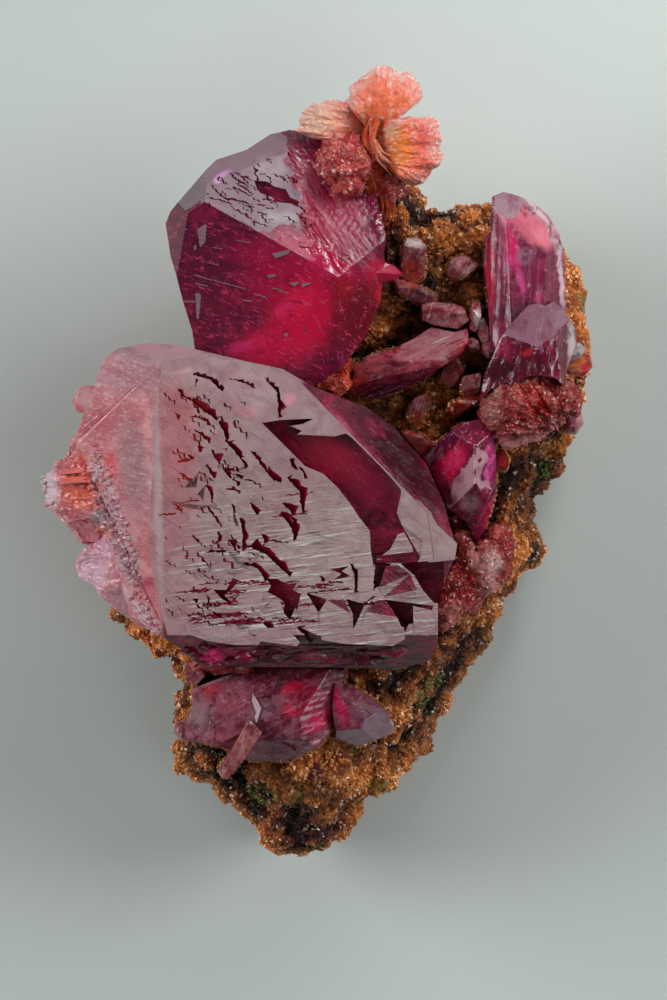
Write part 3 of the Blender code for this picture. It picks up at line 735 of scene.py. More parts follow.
    # The skin: pinkish on the left, silver-grey on the right, the grey being painted sheen of a lamp.
    plates = stained(tree, pushed, "#A47C80", [
        ("#AC6468", (160, 470), (1.5, 4.2), 0, 0.95), ("#C2606A", (172, 440), (0.8, 1.6), 0, 0.6),
        ("#A0827F", (235, 500), (1.0, 1.8), 0, 0.7), ("#AE948F", (350, 560), (3.6, 2.6), 0, 0.9),
        ("#B88A90", (240, 385), (2.4, 0.8), -10, 0.9), ("#E08C96", (246, 411), (0.35, 0.25), 0, 0.8),
        ("#E0929A", (288, 400), (0.25, 0.16), 0, 0.8), ("#F0A8B8", (184, 370), (0.3, 0.12), 0, 0.8),
        ("#9A6E74", (300, 470), (0.7, 0.5), 0, 0.5), ("#A8626C", (180, 600), (1.0, 0.9), 0, 0.6),
        ("#B85C60", (178, 405), (0.7, 0.9), 0, 0.7), ("#B88084", (225, 425), (0.9, 0.5), -20, 0.5),
        ("#C8A8AC", (262, 395), (0.7, 0.35), 10, 0.5),
    ])
    cloud = patches(tree, place, 0.35, 0.42, 0.66, detail=5.0, seed=3.0, top=0.35)
    # The streaks of the low part are striae, and their pale and dark colours are painted sheen and shade.
    low_part = stain(tree, pushed, (310, 590), (4.4, 3.0), turn=-10, soft=0.5)
    striae_and_sheen = patches(tree, place, (1.3, 0.07, 0.4), 0.5, 0.64, detail=3.0, turn=7.0, top=0.85)
    striae_shade = patches(
        tree, place, (0.8, 0.04, 0.4), 0.55, 0.64, detail=3.0, turn=6.0, seed=9.0, top=0.75,
    )
    # Shingle cells: the lit ones get painted sheen and the dim ones get painted shade.
    shingled = add(
        tree, "ShaderNodeMapping",
        {"Vector": pushed, "Rotation": (0.0, 0.0, math.radians(-35)), "Scale": (0.8, 0.42, 1000.0)},
        vector_type="TEXTURE",
    )
    cell = add(tree, "ShaderNodeTexVoronoi", {"Vector": shingled.outputs[0], "Scale": 1.0})
    tones = add(tree, "ShaderNodeSeparateColor", {"Color": cell.outputs["Color"]})
    painted_sheen_cells = add(tree, "ShaderNodeMapRange", {"Value": tones.outputs[0], "From Min": 0.5, "To Max": 0.28})
    dim = add(tree, "ShaderNodeMapRange", {"Value": tones.outputs[1], "From Min": 0.5, "To Max": 0.3})
    plates = painted(
        tree, plates, ("#C6B2B0", painted_sheen_cells.outputs[0]), ("#85585E", dim.outputs[0]), ("#8A5A62", cloud),
        ("#DAD2CF", striae_and_sheen, low_part), ("#7A3C4A", striae_shade, low_part), ("#B89498", seam),
    )
    clear = between(tree, skin, 0.26, 0.16)
    rough = add(
        tree, "ShaderNodeMapRange", {"Value": cloud, "From Max": 0.35, "To Min": 0.16, "To Max": 0.32},
    ).outputs[0]
    swell = patches(tree, place, (0.9, 0.3, 0.6), 0.25, 0.75, turn=-40.0, detail=4.0)
    combed = add(tree, "ShaderNodeMath", {0: striae_and_sheen, 1: low_part}, operation="MULTIPLY")
    dress(
        tree, shader, painted(tree, body, (plates, skin)), (combed.outputs[0], swell), 0.012,
        Transmission_Weight=clear, Roughness=rough,
    )
    return material


etched_roselite = great_crystal_finish()
print(etched_roselite.name)

# %% [markdown]
# ## The great crystal
#
# Its big upper face grew as overlapping plates, like shingles, and the gaps between them are
# open hollows. Each hollow is drawn as its crisp left edge (a start, sometimes a middle, and an
# end) and its greatest width. The cutter is a wedge: deepest along that edge, with a floor that
# rises to the next plate. The hollows are real cuts, so they stay dark from every side.

# %% Hollows of the great crystal
HOLLOWS = [
    ((193, 375), (209, 379), (222.5, 392), 4.5), ((229, 379), (244, 383), (255, 388.5), 2.5),
    ((264, 378), (277, 392), (279, 418), 4), ((177.5, 389.5), (184.5, 397.5), (191, 401), 2.5),
    ((191.5, 400.5), (200, 408.5), (217.5, 420.5), 5), ((196, 407), (199, 414), 1.5),
    ((219, 421), (224, 433), (226, 442.5), 6), ((226, 442), (233, 450), (240, 458), 9),
    ((239, 457), (243, 463), (245, 469), 2.5), ((223, 470), (234, 471.5), (245, 468), 1.5),
    ((223.5, 470.5), (230, 478.5), 3), ((194, 430), (202, 437), (210, 443.5), 3.5),
    ((196, 379), (195, 387), 1), ((174.5, 412.5), (177.5, 416.5), (178, 420), 1.5),
    ((189, 418), (197, 417.5), (203, 420.5), 1), ((202, 418.5), (205.5, 421.5), 1.5),
    ((196.5, 446.5), (198.5, 449.5), (200, 452.5), 4), ((211, 450), (215, 458), (219, 464), 3),
    ((205, 465), (210, 472), (213.5, 478.5), 3.5), ((177.5, 463), (190, 461), (192, 455), 2),
    ((187.5, 455), (190.5, 458), (192, 460), 3), ((251, 451), (258, 461), (266, 472), 3),
    ((266, 471.5), (273, 480), (281, 483), 6), ((287, 477.5), (299, 491), (303, 514), 7),
    ((232.5, 478.5), (236, 482), (238, 486), 3), ((235, 474), (241, 479), 4),
    ((241, 480), (253, 481), (261, 488), 1.2), ((205, 485.5), (210, 492), (212, 499.5), 4),
    ((225, 490), (235, 490), (239.5, 494), 1.5), ((249, 503), (254, 510), (256.5, 515), 6),
    ((282, 503), (288, 509), (293, 514.5), 8), ((289.5, 459), (291, 466), (296, 470), 5),
    ((298, 467), (303, 472), (305, 479), 2.5), ((197.5, 505), (201, 510), 3),
    ((207.5, 511), (213, 515), 2), ((231.5, 504), (235, 513), 1.2), ((178, 505), (188.5, 506), 1),
    ((291, 517), (296, 530), (293, 541), 5), ((159, 515), (176, 514), 1.5),
    ((182, 503), (199, 501), 1), ((177, 506), (179, 511), 2),
    ((207.5, 508), (214, 516), (222, 527.5), 1.8), ((280, 514), (289, 524), (295, 540), 7),
    ((239.5, 518), (242, 528), (242.5, 551), 5),
    ((260.5, 534.5), (264, 540), (263, 546), 3), ((265, 541), (288, 543), 1.2),
    ((248, 546), (266, 555), (290, 577), 9), ((217.5, 532), (219, 537), (214, 544), 3),
    ((191.5, 535.5), (198, 542.5), 2.5), ((229, 540), (233, 547), 3.5),
    ((235, 542), (238.5, 549.5), 1.5), ((205, 553), (226, 552), 2),
    ((226, 552), (236, 562), (245.5, 569), 5),
    ((242, 564), (258, 568), (265, 582), 6), ((192, 598.7), (196, 603), 3), ((212, 612), (220, 618), 3),
    ((244, 615), (247.5, 620.5), 2), ((235.5, 625.5), (242, 630), 3),
    ((263, 623), (270, 631), (276, 634), 7),
    ((296.5, 627), (304, 635.5), (312, 646), 10), ((306.5, 594), (315, 603), (317.5, 610), 9),
    ((320, 576), (321.5, 582), 3), ((350, 564), (354.5, 576), (354.5, 593), 4.5),
    ((373, 532), (374.5, 562), (373.5, 591), 3), ((366, 602.5), (375.5, 597), 2.5),
]
print(len(HOLLOWS), "hollows drawn")

# %% [markdown]
# The largest gaps have more corners than a wedge, so they are drawn as outlines with a flat,
# leaning floor. The widest is a long trough on the upper right, and shark-fin plates stand in it.

# %% Wide gaps and fins of the great crystal
TROUGH = [
    (262, 423), (281, 420), (314, 418.5), (303, 424), (290, 426), (302, 431), (297, 434.5),
    (334, 436.5), (346, 433.5), (351, 437), (364, 450), (380, 466), (393, 480), (401, 490), (400, 513),
    (401.5, 524.5), (422, 540), (420.5, 557), (417, 563), (376, 563), (373.5, 566), (370.5, 549),
    (370, 531), (359, 517), (352.5, 507), (338, 488), (323.5, 474), (305, 466), (294.5, 455.5),
    (279, 440),
]
WIDE_GAPS = [
    # outline, depth at its middle, lean of the floor
    ([(213, 589.5), (226, 590), (229, 585), (232.5, 578), (239.5, 580), (230.5, 590.5),
      (224.5, 595), (232.5, 604.5), (222, 599)], 0.16, (0.5, 0.25)),
    ([(266, 578), (277, 579), (288, 584), (297, 583), (293, 589), (301, 595), (296, 606), (290, 620),
      (283, 612), (285, 603), (279, 598), (267.5, 592), (271, 586)], 0.28, (0.5, 0.3)),
    ([(248.5, 635.5), (258, 641), (268, 641), (280, 630), (272, 633)], 0.16, (0.4, 0.3)),
    ([(375, 562.5), (391, 563.5), (383, 584), (375.5, 588.5)], 0.3, (0.3, 0.0)),
    ([(384, 599.5), (405, 632), (409, 624), (425.5, 623), (434, 606)], 0.34, (0.45, 0.25)),
    ([(346, 599), (353, 614.5), (353, 629), (356, 624), (365, 604)], 0.28, (0.4, 0.0)),
    ([(307, 593), (318, 612), (326, 606), (326, 599)], 0.2, (0.5, 0.25)),
    ([(290, 594), (297, 611), (301, 593)], 0.16, (0.3, 0.0)),
    ([(400, 563.5), (414.5, 575.5), (423, 590.5), (434, 603), (444, 604), (444, 560), (430, 561)],
     0.6, (0.5, 0.35)),
    ([(330, 569), (349, 566), (342, 571), (350, 576), (334, 580), (341, 574)], 0.12, (0.2, 0.0)),
    ([(322, 616), (338, 614), (346, 618), (333, 621)], 0.12, (0.2, 0.0)),
]
FINS = [
    # outline, height of its top over the face, lean of the top
    ([(401, 493), (397, 513), (401.6, 524.5), (422, 540), (420.6, 557), (429.5, 562.4), (455, 560),
      (457.4, 543.4), (437, 524.5), (430.6, 512), (419.5, 501)], -0.01, (0.0, 0.0)),
    ([(390.5, 549), (398, 534), (404, 532.5), (417, 555), (376, 560)], -0.03, (-0.05, 0.05)),
    ([(376, 556), (417, 551.5), (417, 562), (376, 562.5)], -0.02, (0.0, 0.25)),
    ([(375, 502), (387, 494), (390, 503)], -0.1, (-0.1, 0.3)),
    ([(369, 519), (379, 510.5), (383, 515.5), (372.6, 525.6)], -0.08, (0.0, 0.4)),
    ([(309, 428), (334, 431), (332, 435.5), (300, 433)], -0.02, (0.0, 0.0)),
    ([(386, 566), (398, 565), (410, 574), (417, 590), (424, 598), (384, 597), (379, 588)],
     0.07, (0.06, 0.1)),
    ([(378, 600), (385.5, 600), (397, 617), (404, 632), (360, 631), (366, 612)], 0.07, (0.07, 0.08)),
    ([(327, 600), (344, 600), (351, 614), (351, 626), (320, 626), (319, 612)], 0.05, (0.05, 0.06)),
    ([(262, 611), (273, 600), (279, 599), (284, 612), (282, 614)], 0.01, (-0.03, 0.0)),
    ([(250, 640), (266, 628), (285, 627), (300, 642), (297, 646)], 0.02, (0.02, 0.0)),
    ([(236, 598), (255, 585), (262, 590), (262, 604), (240, 606)], 0.015, (0.03, 0.0)),
    ([(318, 628), (404, 627), (405, 639), (393, 646), (345, 644), (322, 640)], 0.015, (0.02, 0.0)),
    ([(184, 624), (236, 628), (262, 640), (258, 645), (236, 645), (208, 641), (188, 634)],
     0.015, (0.0, 0.0)),
    ([(413, 606), (431, 610), (437, 628), (428, 636), (414, 634)], 0.03, (0.05, 0.0)),
]
TROUGH_DEPTH, TROUGH_LEAN = 0.34, (0.28, 0.1)
FIN_ROOT = -0.7  # mm below the face, where a fin stands on the floor of its gap
CRACK_COUNT, SLIVER_COUNT = 120, 46
CRACK_DEPTH, SLIVER_DEPTH = 0.07, 0.05
RIDGE = ((350, 433), (457.4, 543.4))  # where the top face ends and the dark side face begins
SIDE_FALL = 0.95  # slope of that side face


def lower_side_face(bm, surface):
    """Plane off everything above the side face, which falls away beyond the ridge."""
    start_point, end_point = drawn(RIDGE)
    run = (end_point - start_point).normalized()
    out = Vector((-run.y, run.x))
    out = out if out.x + out.y > 0 else -out
    a = Vector((*start_point, surface(*start_point)))
    b = Vector((*end_point, surface(*end_point)))
    c = a + Vector((out.x, out.y, -SIDE_FALL))
    normal = (b - a).cross(c - a).normalized()
    normal = normal if normal.z > 0 else -normal
    cut = bmesh.ops.bisect_plane(
        bm, geom=bm.verts[:] + bm.edges[:] + bm.faces[:], plane_co=a, plane_no=normal,
        clear_outer=True,
    )
    rim = [item for item in cut["geom_cut"] if isinstance(item, bmesh.types.BMEdge)]
    bmesh.ops.holes_fill(bm, edges=rim)
    bmesh.ops.triangulate(bm, faces=[face for face in bm.faces if len(face.verts) > 3])
    bmesh.ops.recalc_face_normals(bm, faces=bm.faces)


def stair_crack(surface, dice, across, down, size):
    """A small crack that runs to the right and down by turns, like the edge of a stack of plates."""
    spot, edge, reaches = Vector((across, down)), [], []
    level = dice.random() < 0.5
    for _ in range(dice.randint(2, 5)):
        edge.append(Vector(on_sheet(*spot)))
        reaches.append(dice.uniform(0.3, 1.0) * size / 2.2 / LINES)
        if level:
            spot = spot + Vector((dice.uniform(0.5, 1.3) * size, dice.uniform(0.0, 0.15) * size))
        else:
            spot = spot + Vector((dice.uniform(0.05, 0.5) * size, dice.uniform(0.5, 1.2) * size))
        level = not level
    edge.append(Vector(on_sheet(*spot)))
    reaches.append(0.1 / LINES)
    return crack(surface, edge, reaches, CRACK_DEPTH)


def small_cracks(surface, dice):
    """Cracks strewn over the left half, and long slivers where the plates are striated."""
    made = []
    for _ in range(CRACK_COUNT):
        x, y = dice.gauss(205, 30), dice.uniform(388, 628)
        if 163 < x < 262:
            made.append(stair_crack(surface, dice, x, y, dice.uniform(2.5, 6.0)))
    for _ in range(SLIVER_COUNT):
        x, y = dice.uniform(172, 350), dice.uniform(584, 626)
        if x > 255 and y < 600 and dice.random() < 0.5:
            x, y = dice.uniform(262, 345), dice.uniform(486, 590)
        length = dice.uniform(10, 48)
        points = ((x, y), (x + length, y - length * 0.09))
        made.append(hollow(surface, points, dice.uniform(0.6, 1.3), dice, depth=SLIVER_DEPTH))
    return made


print(len(WIDE_GAPS) + 1, "wide gaps,", len(FINS), "fins")

# %% [markdown]
# The left side is another matter: crumbly lobes with stepped red facets and a ridge of pale
# crumbs. It is refined and roughened before the plates are cut, so that the rough side and the
# crisp face meet in one mesh. The crumbs are chips grown onto it, and so are the ledges below.

# %% Build the great crystal
WEST_SIDE = [
    ("steps", (2.5, 0.34, 0.7), 0.15, -8), ("tips", (0.5, 0.3, 0.5), 0.12, 60),
    ("soft", (0.12, 0.12, 0.12), 0.03, 0),
]
CRUMB_RIDGES = [
    ([(99, 446), (104, 470), (116, 500), (126, 530), (133, 560), (138, 590), (150, 622), (163, 640)],
     80, (2, 7), (0.02, 0.09)),
    ([(84, 461), (92, 482), (101, 505), (112, 530), (122, 554), (137, 588)], 75, (3, 8), (0.03, 0.12)),
    ([(66, 424), (57, 448), (46, 468), (42, 488), (50, 508)], 24, (3, 6), (0.05, 0.12)),
    ([(166, 645), (190, 655), (215, 662)], 20, (4, 9), (0.05, 0.14)),
    ([(205, 648), (232, 655), (268, 654)], 9, (9, 17), (0.08, 0.2)),
    ([(300, 655), (350, 657), (392, 655)], 8, (9, 20), (0.06, 0.12)),
]
STEP_FROM, STEP_TO, STEP_COUNT = (70, 462), (90, 534), 9
LEDGE_COUNT = 16
PLATES_FROM, LOBES_FROM = on_sheet(158, 425)  # x of the plates' left edge, y of the lobes' top
LOBE_FACE, LOBE_FOOT = 0.07, 3.5  # mm: how fine the lobes are, and the height that they start at


def build_great_crystal():
    bm = welded("great_crystal")
    face = largest_facet(bm, (0.17, -0.10, 1.0))
    surface = partial(height_on, face)
    lower_side_face(bm, surface)

    def on_lobes(place):
        """Full on the lobes, fading out at the plates and at the bevel above."""
        inwards, downwards = (PLATES_FROM - 0.5 - place.x) / 0.9, (LOBES_FROM - place.y) / 0.6
        return min(1.0, max(0.0, inwards), max(0.0, downwards))

    refine(bm, LOBE_FACE, where=lambda p: p.x < PLATES_FROM - 0.35 and p.z > LOBE_FOOT)
    roughen(bm, WEST_SIDE, where=on_lobes)
    bmesh.ops.recalc_face_normals(bm, faces=bm.faces)
    dice = random.Random(11)
    grown = []
    for line, count, size, rise in CRUMB_RIDGES:
        grown += chips(bm, dice, line, count, size, rise, spread=3.0)
    over = top_of(bm)
    for i in range(STEP_COUNT):
        t = i / (STEP_COUNT - 1)
        x = STEP_FROM[0] + (STEP_TO[0] - STEP_FROM[0]) * t + dice.uniform(-3, 3)
        y = STEP_FROM[1] + (STEP_TO[1] - STEP_FROM[1]) * t
        long, fall = dice.uniform(6, 16), dice.uniform(-3, 4)
        ends = (x - long, y - fall), (x + long, y + fall)
        grown.append(bar(over, *ends, dice.uniform(2, 7), 0.03, -0.2))
    for _ in range(LEDGE_COUNT):
        x, y, long = dice.uniform(215, 395), dice.uniform(641, 661), dice.uniform(12, 50)
        grown.append(bar(over, (x, y), (x + long, y - 0.5), dice.uniform(1.5, 3.5), 0.04, -0.15))
    combine(bm, grown, "UNION")
    cuts = [hollow(surface, points, width, dice) for *points, width in HOLLOWS]
    cuts += [pit(surface, *gap) for gap in WIDE_GAPS]
    cuts.append(pit(surface, TROUGH, TROUGH_DEPTH, TROUGH_LEAN))
    cuts += small_cracks(surface, dice)
    combine(bm, cuts, "DIFFERENCE")
    combine(bm, [slab(surface, outline, top, FIN_ROOT, lean) for outline, top, lean in FINS], "UNION")
    mark_skin(bm, [face], near=0.06)
    return bm


finished("great_crystal_etched", build_great_crystal(), etched_roselite, "great_crystal")

# %% [markdown]
# ## The upper crystal
#
# This one is the gem of the piece: a clear front face, dark purple on the left and a painted
# hot-pink glow where light comes back through its lower right. Above a crooked crest lies a skin
# of grey-mauve growth steps, partly painted sheen, wrinkled by thin channels, with one magenta gap
# in it. On the right the skin breaks up into ridges that run down and away. A few scraps of skin
# are left on the front face, and they flash like mica.

# %% Finish of the upper crystal
def gem_finish():
    """Clear roselite: purple to a painted hot-pink glow inside, with veils and flaws, and a mauve skin
    above.
    """
    material, tree, shader, place = roselite("gem_roselite")
    pushed = wavering(tree, place, 0.4, 0.2)
    close = wavering(tree, place, 0.14, 0.07)
    skin = add(tree, "ShaderNodeAttribute", attribute_name="skin").outputs["Fac"]
    body = painted(tree, "#6E1036", ("#9A1844", patches(tree, place, 0.3, 0.42, 0.66, detail=6.0)))
    # The hot pinks and reds towards the lower right among these stains are painted glow.
    body = stained(tree, pushed, body, [
        ("#6A1038", (200, 250), (1.0, 1.6), 8, 0.8), ("#6E1234", (210, 320), (0.7, 1.2), 8, 0.6),
        ("#B4124E", (262, 250), (1.4, 0.5), 4, 0.8), ("#C80C46", (290, 285), (1.6, 1.3), -30, 0.9),
        ("#F40A46", (305, 318), (1.1, 1.5), -20, 1.0), ("#E80E4C", (272, 345), (1.3, 0.8), 15, 0.9),
        ("#FF1A52", (300, 300), (0.6, 0.5), 30, 0.9), ("#8A1024", (352, 318), (0.7, 1.2), 0, 0.85),
        ("#C01C2C", (368, 300), (0.3, 1.3), -8, 0.8), ("#A01030", (342, 300), (0.3, 0.5), 0, 0.6),
        ("#A8204E", (205, 214), (0.6, 0.3), 30, 0.7), ("#E8307A", (240, 347), (0.6, 0.25), 10, 0.8),
        ("#E8205C", (325, 262), (1.0, 0.6), -35, 0.8), ("#D8144E", (384, 272), (0.9, 0.4), -10, 0.9),
        ("#C81450", (320, 255), (1.9, 0.35), -30, 0.85), ("#E02C40", (372, 345), (0.5, 0.3), 0, 0.7),
        ("#7E0C1E", (362, 315), (0.6, 1.2), -10, 0.95), ("#D81C3C", (380, 290), (0.16, 1.1), 8, 0.9),
        ("#B81028", (345, 285), (0.4, 0.4), 0, 0.8), ("#FF2A6E", (285, 308), (0.5, 0.3), 30, 0.8),
    ])
    # Flaws: level threads on the left, fine veils everywhere, a few bright specks.
    level = patches(tree, close, (1.0, 0.045, 0.4), 0.56, 0.64, turn=-9.0, seed=4.0, top=0.35)
    left = stain(tree, place, (225, 275), (1.9, 2.2), soft=0.6)
    veils = patches(
        tree, place, (0.16, 0.3, 0.2), 0.56, 0.66, turn=20.0, detail=6.0, seed=11.0, top=0.45,
    )
    dark_veils = patches(tree, place, (0.35, 0.2, 0.2), 0.56, 0.66, detail=6.0, seed=17.0, top=0.5)
    specks = patches(tree, place, 0.07, 0.7, 0.74, detail=2.0, seed=6.0, top=0.6)
    flaws = patches(
        tree, close, (0.3, 0.07, 0.2), 0.6, 0.66, turn=-24.0, detail=4.0, seed=21.0, top=0.8,
    )
    body = painted(
        tree, body, ("#5A0A2E", dark_veils), ("#E8306C", veils), ("#C8427E", level, left),
        ("#FF4A8C", flaws), ("#F6A8C4", specks),
    )
    # East of the skin the ridges are rosy and grey by turns.
    combed = patches(tree, close, (0.9, 0.055, 0.4), 0.46, 0.58, turn=-58.0, seed=2.0, top=0.5)
    ridges = stain(tree, pushed, (330, 203), (1.95, 0.62), turn=-60.0, soft=0.5)
    fanned = patches(tree, close, (0.8, 0.06, 0.4), 0.48, 0.6, turn=-38.0, seed=7.0, top=0.7)
    lower_ridges = stain(tree, pushed, (352, 246), (1.0, 0.45), turn=-40.0, soft=0.5)
    body = painted(
        tree, body, ("#B80A44", stain(tree, pushed, (322, 205), (1.1, 2.1), turn=30.0)),
        ("#C0708A", combed, ridges), ("#C07080", fanned, lower_ridges),
    )
    # The skin: mauve-grey plates, partly painted sheen, with a painted lilac glint.
    grey = stained(tree, pushed, "#8A6C78", [
        ("#787072", (186, 200), (0.8, 0.9), 0, 0.9), ("#A8949A", (272, 170), (0.6, 0.5), 0, 0.8),
        ("#E6A0DC", (222, 176), (0.32, 0.14), 40, 0.95), ("#B0A4A8", (280, 218), (0.6, 0.3), 0, 0.8),
        ("#98707E", (205, 205), (0.5, 0.25), 0, 0.6), ("#C890A8", (296, 165), (0.25, 0.7), 15, 0.7),
    ])
    wrinkled = patches(
        tree, place, (0.7, 0.06, 0.3), 0.58, 0.68, turn=-22.0, detail=4.0, seed=9.0, top=0.5,
    )
    cloud = patches(tree, place, 0.4, 0.42, 0.66, detail=5.0, seed=3.0, top=0.4)
    grey = painted(tree, grey, ("#7C5468", cloud), ("#6A2A48", wrinkled))
    clear = between(tree, skin, 0.4, 0.18)
    dulled = add(
        tree, "ShaderNodeMath",
        {0: skin, 1: stain(tree, pushed, (338, 215), (2.3, 1.1), turn=-50.0)}, operation="MAXIMUM",
    )
    rough = between(tree, dulled.outputs[0], 0.1, 0.4)
    swell = patches(tree, place, (0.5, 0.22, 0.4), 0.25, 0.75, turn=-20.0, detail=4.0)
    dress(
        tree, shader, painted(tree, body, (grey, skin)), (veils, swell), 0.008,
        Transmission_Weight=clear, Roughness=rough,
    )
    return material


gem_roselite = gem_finish()

# %% Build the upper crystal
WRINKLES = [
    ((197.3, 198), (218.8, 199.7), (232, 204.5), 1.3), ((216.4, 192.6), (224, 198), (252.3, 204.5), 1.6),
    ((225, 189), (238, 190), (251, 196), 1.5), ((233, 172.6), (243, 177), (252.3, 181), 1.8),
    ((231.5, 175.8), (240, 182), (249, 187.5), 1.8), ((234.7, 183.8), (244, 188), (252.3, 195), 2.0),
    ((230, 206), (240, 213), (251, 219), 1.6), ((248, 218), (258, 223), (267, 227), 1.4),
    ((257, 212), (262, 214), (268, 214), 1.4), ((265, 207.5), (269, 209), (273, 209), 1.2),
    ((268, 219), (270.5, 220), (273, 219.7), 1.2), ((295.3, 212.5), (302, 220), (308, 228.4), 2.2),
    ((299, 214), (306, 221), (312, 227), 1.8), ((251, 165), (256, 160), (264, 156), 4.0),
    ((253.5, 165), (254, 173), (257, 181), 2.2), ((288, 143), (292, 145), (296, 147), 1.2),
    ((259, 174), (265, 175), (269, 177), 1.2), ((268, 176), (270, 180), (269, 184), 1.2),
    ((219, 196), (228, 200), (236, 201), 1.2), ((238, 202), (247, 206), (254, 207.5), 1.4),
    ((262, 199), (268, 201), (276, 203), 1.6), ((256, 205), (261, 206), (266, 205), 1.0),
]
WRINKLE_DEPTH, WRINKLE_WIDEN = 0.08, 1.2
GAP_DEPTH, GAP_LEAN = 0.18, (0.15, 0.35)
MAGENTA_GAP = [
    (254, 180), (257, 189), (261, 193), (272, 197), (276, 202), (290, 203), (299, 207), (297, 200),
    (290, 197), (286, 189), (274, 186), (267, 181),
]
SKIN_EDGE = [
    (160, 226), (173, 221), (181, 214), (194, 206), (205, 207), (215, 211), (226, 218), (238, 219),
    (255, 226), (272, 230), (284, 228), (295, 221), (303, 229), (304, 215), (299, 203), (296, 188),
    (291, 180), (291, 168), (288, 158), (284, 120), (150, 110), (150, 226),
]
SCRAPS = [
    [(197, 229), (200, 247), (205, 242), (207, 223)], [(306, 216), (306, 228), (317, 219), (311, 211)],
    [(315, 206), (323, 216), (319, 206)], [(300, 241), (300, 246), (311, 247), (316, 239)],
    [(272, 253.5), (275.5, 258), (288.5, 254), (290, 249.4)], [(288.5, 283), (295, 286), (300, 281.5)],
    [(301.5, 283.6), (303, 287.3), (312, 282.4)], [(193.5, 246), (194, 250), (196.5, 249), (196, 244)],
    [(195, 292.5), (196.5, 318), (198.5, 319), (201, 293)], [(267, 275), (269, 278), (276, 276), (275, 274)],
    [(340, 257), (346, 261), (349, 256)], [(283, 334), (287, 337), (288, 333)],
]
SCRATCHES = [
    ((194, 274.6), (212, 280), 1.2), ((214, 280), (246, 289), 1.0), ((254, 294), (266, 297), 1.2),
    ((243, 300), (252, 301), 1.4), ((195, 283), (208, 286), 1.2), ((181, 281), (183, 302), 1.6),
    ((183, 301), (197, 301.5), 1.5), ((272, 288), (283, 290), 1.0), ((279, 291), (289, 293), 0.9),
    ((213, 247), (222, 249), 0.8), ((236, 240), (251, 243), 0.9), ((206, 262), (219, 265), 0.8),
]
EAST_RIDGES = [("ridges", (1.5, 0.1, 0.6), 0.07, -58), ("soft", (0.5, 0.25, 0.4), 0.05, -58)]
TINY_CRACKS = 46
SCRAP_TOP, SCRAP_ROOT, SCRAP_LEAN = 0.035, -0.1, (-0.1, -0.1)
DETAILED_BEFORE, DETAILED_ABOVE = 285, 4.5  # sheet lines down, and mm up
FADE = 0.12  # mm, at the edges of the ridges
SEAM = 0.09  # mm, the crack between two solids that touch


def east_of_skin(place):
    """Full on the ridges, fading out at the skin and below the crest."""
    across, down = lines_of(place)
    return min(1.0, max(0.0, (across - 280 - (down - 130) * 0.2) / 14))


def build_upper_crystal():
    bm = welded("upper_crystal")
    upper = largest_facet(bm, (0.215, 0.485, 1.0))
    front = largest_facet(bm, (-0.20, -0.25, 1.0))
    bevel = largest_facet(bm, (-0.85, 0.65, 1.0))
    top_edge = largest_facet(bm, (-0.1, 1.3, 1.0))
    on_upper, on_front = partial(height_on, upper), partial(height_on, front)
    refine(
        bm, 0.085, where=lambda p: lines_of(p)[1] < DETAILED_BEFORE and p.z > DETAILED_ABOVE,
    )
    right = largest_facet(bm, (0.80, -0.25, 1.0))

    def on_ridges(place):
        """Full well inside the upper face, nothing at its edges to the front and the right."""
        room = min(on_front(place.x, place.y), height_on(right, place.x, place.y)) - place.z
        return east_of_skin(place) * min(1.0, max(0.0, room / FADE))

    roughen(bm, EAST_RIDGES, where=on_ridges)
    foot = on_sheet(0, 338)[1]
    for vert in bm.verts:
        if vert.co.y < foot:
            in_front = abs(vert.co.z - on_front(*vert.co.xy)) < 0.01
            vert.co.y -= SEAM
            if in_front:
                vert.co.z = on_front(*vert.co.xy)
    bmesh.ops.recalc_face_normals(bm, faces=bm.faces)
    dice = random.Random(23)
    cuts = [
        hollow(on_upper, points, width, dice, depth=WRINKLE_DEPTH, widen=WRINKLE_WIDEN)
        for *points, width in WRINKLES
    ]
    cuts.append(pit(on_upper, MAGENTA_GAP, GAP_DEPTH, GAP_LEAN))
    for _ in range(TINY_CRACKS):
        x, y = dice.uniform(205, 300), dice.uniform(150, 225)
        if inside(SKIN_EDGE, x, y):
            cuts.append(stair_crack(on_upper, dice, x, y, dice.uniform(2.0, 5.0)))
    combine(bm, cuts, "DIFFERENCE")
    on_top = top_of(bm)
    scraps = [
        slab(on_top, outline, SCRAP_TOP, SCRAP_ROOT, SCRAP_LEAN) for outline in SCRAPS
        if all(on_top(*on_sheet(*corner)) for corner in outline)
    ]
    combine(bm, scraps + [bar(on_top, *line) for line in SCRATCHES], "UNION")
    mark_skin(bm, [upper, bevel, top_edge], near=0.05, proud_of=front, within=SKIN_EDGE)
    return bm


finished("upper_crystal_clear", build_upper_crystal(), gem_roselite, "upper_crystal")

# %% [markdown]
# ## Gossan, the matrix
#
# Gossan is weathered iron ore: rusty, porous and crusted with tiny crystals that glitter like brown
# sugar. The slab is remade as an even mesh of small faces and roughened at three scales, so
# that it has cauliflower clumps, knobs and pits. Geometry Nodes then sow it with druse: one small
# spike, many thousand times over, each turned and sized by chance from a fixed seed. Tips are
# painted lighter and pits darker, as painted highlight and painted shade, and a spike keeps the
# relief of the place it grew on, so that the painted shade of the pits carries onto it.

# %% Gossan
GREEN_PATCHES = [
    ((262, 797), (0.5, 0.45)), ((295, 797), (0.25, 0.3)), ((380, 788), (0.4, 0.3)),
    ((432, 680), (0.4, 0.3)), ((315, 848), (0.35, 0.2)), ((545, 470), (0.3, 0.35)),
    ((425, 700), (0.3, 0.4)), ((350, 752), (0.3, 0.2)), ((585, 300), (0.2, 0.4)),
]
RUST_LOW, RUST_HIGH = -0.14, 0.16  # mm of relief, from pits to tips


def tips_of(tree, low, high):
    """A mask from the mesh's relief: none up to the low height in mm, full from the high one."""
    relief = add(tree, "ShaderNodeAttribute", attribute_name="relief").outputs["Fac"]
    return add(
        tree, "ShaderNodeMapRange", {"Value": relief, "From Min": low, "From Max": high},
    ).outputs[0]


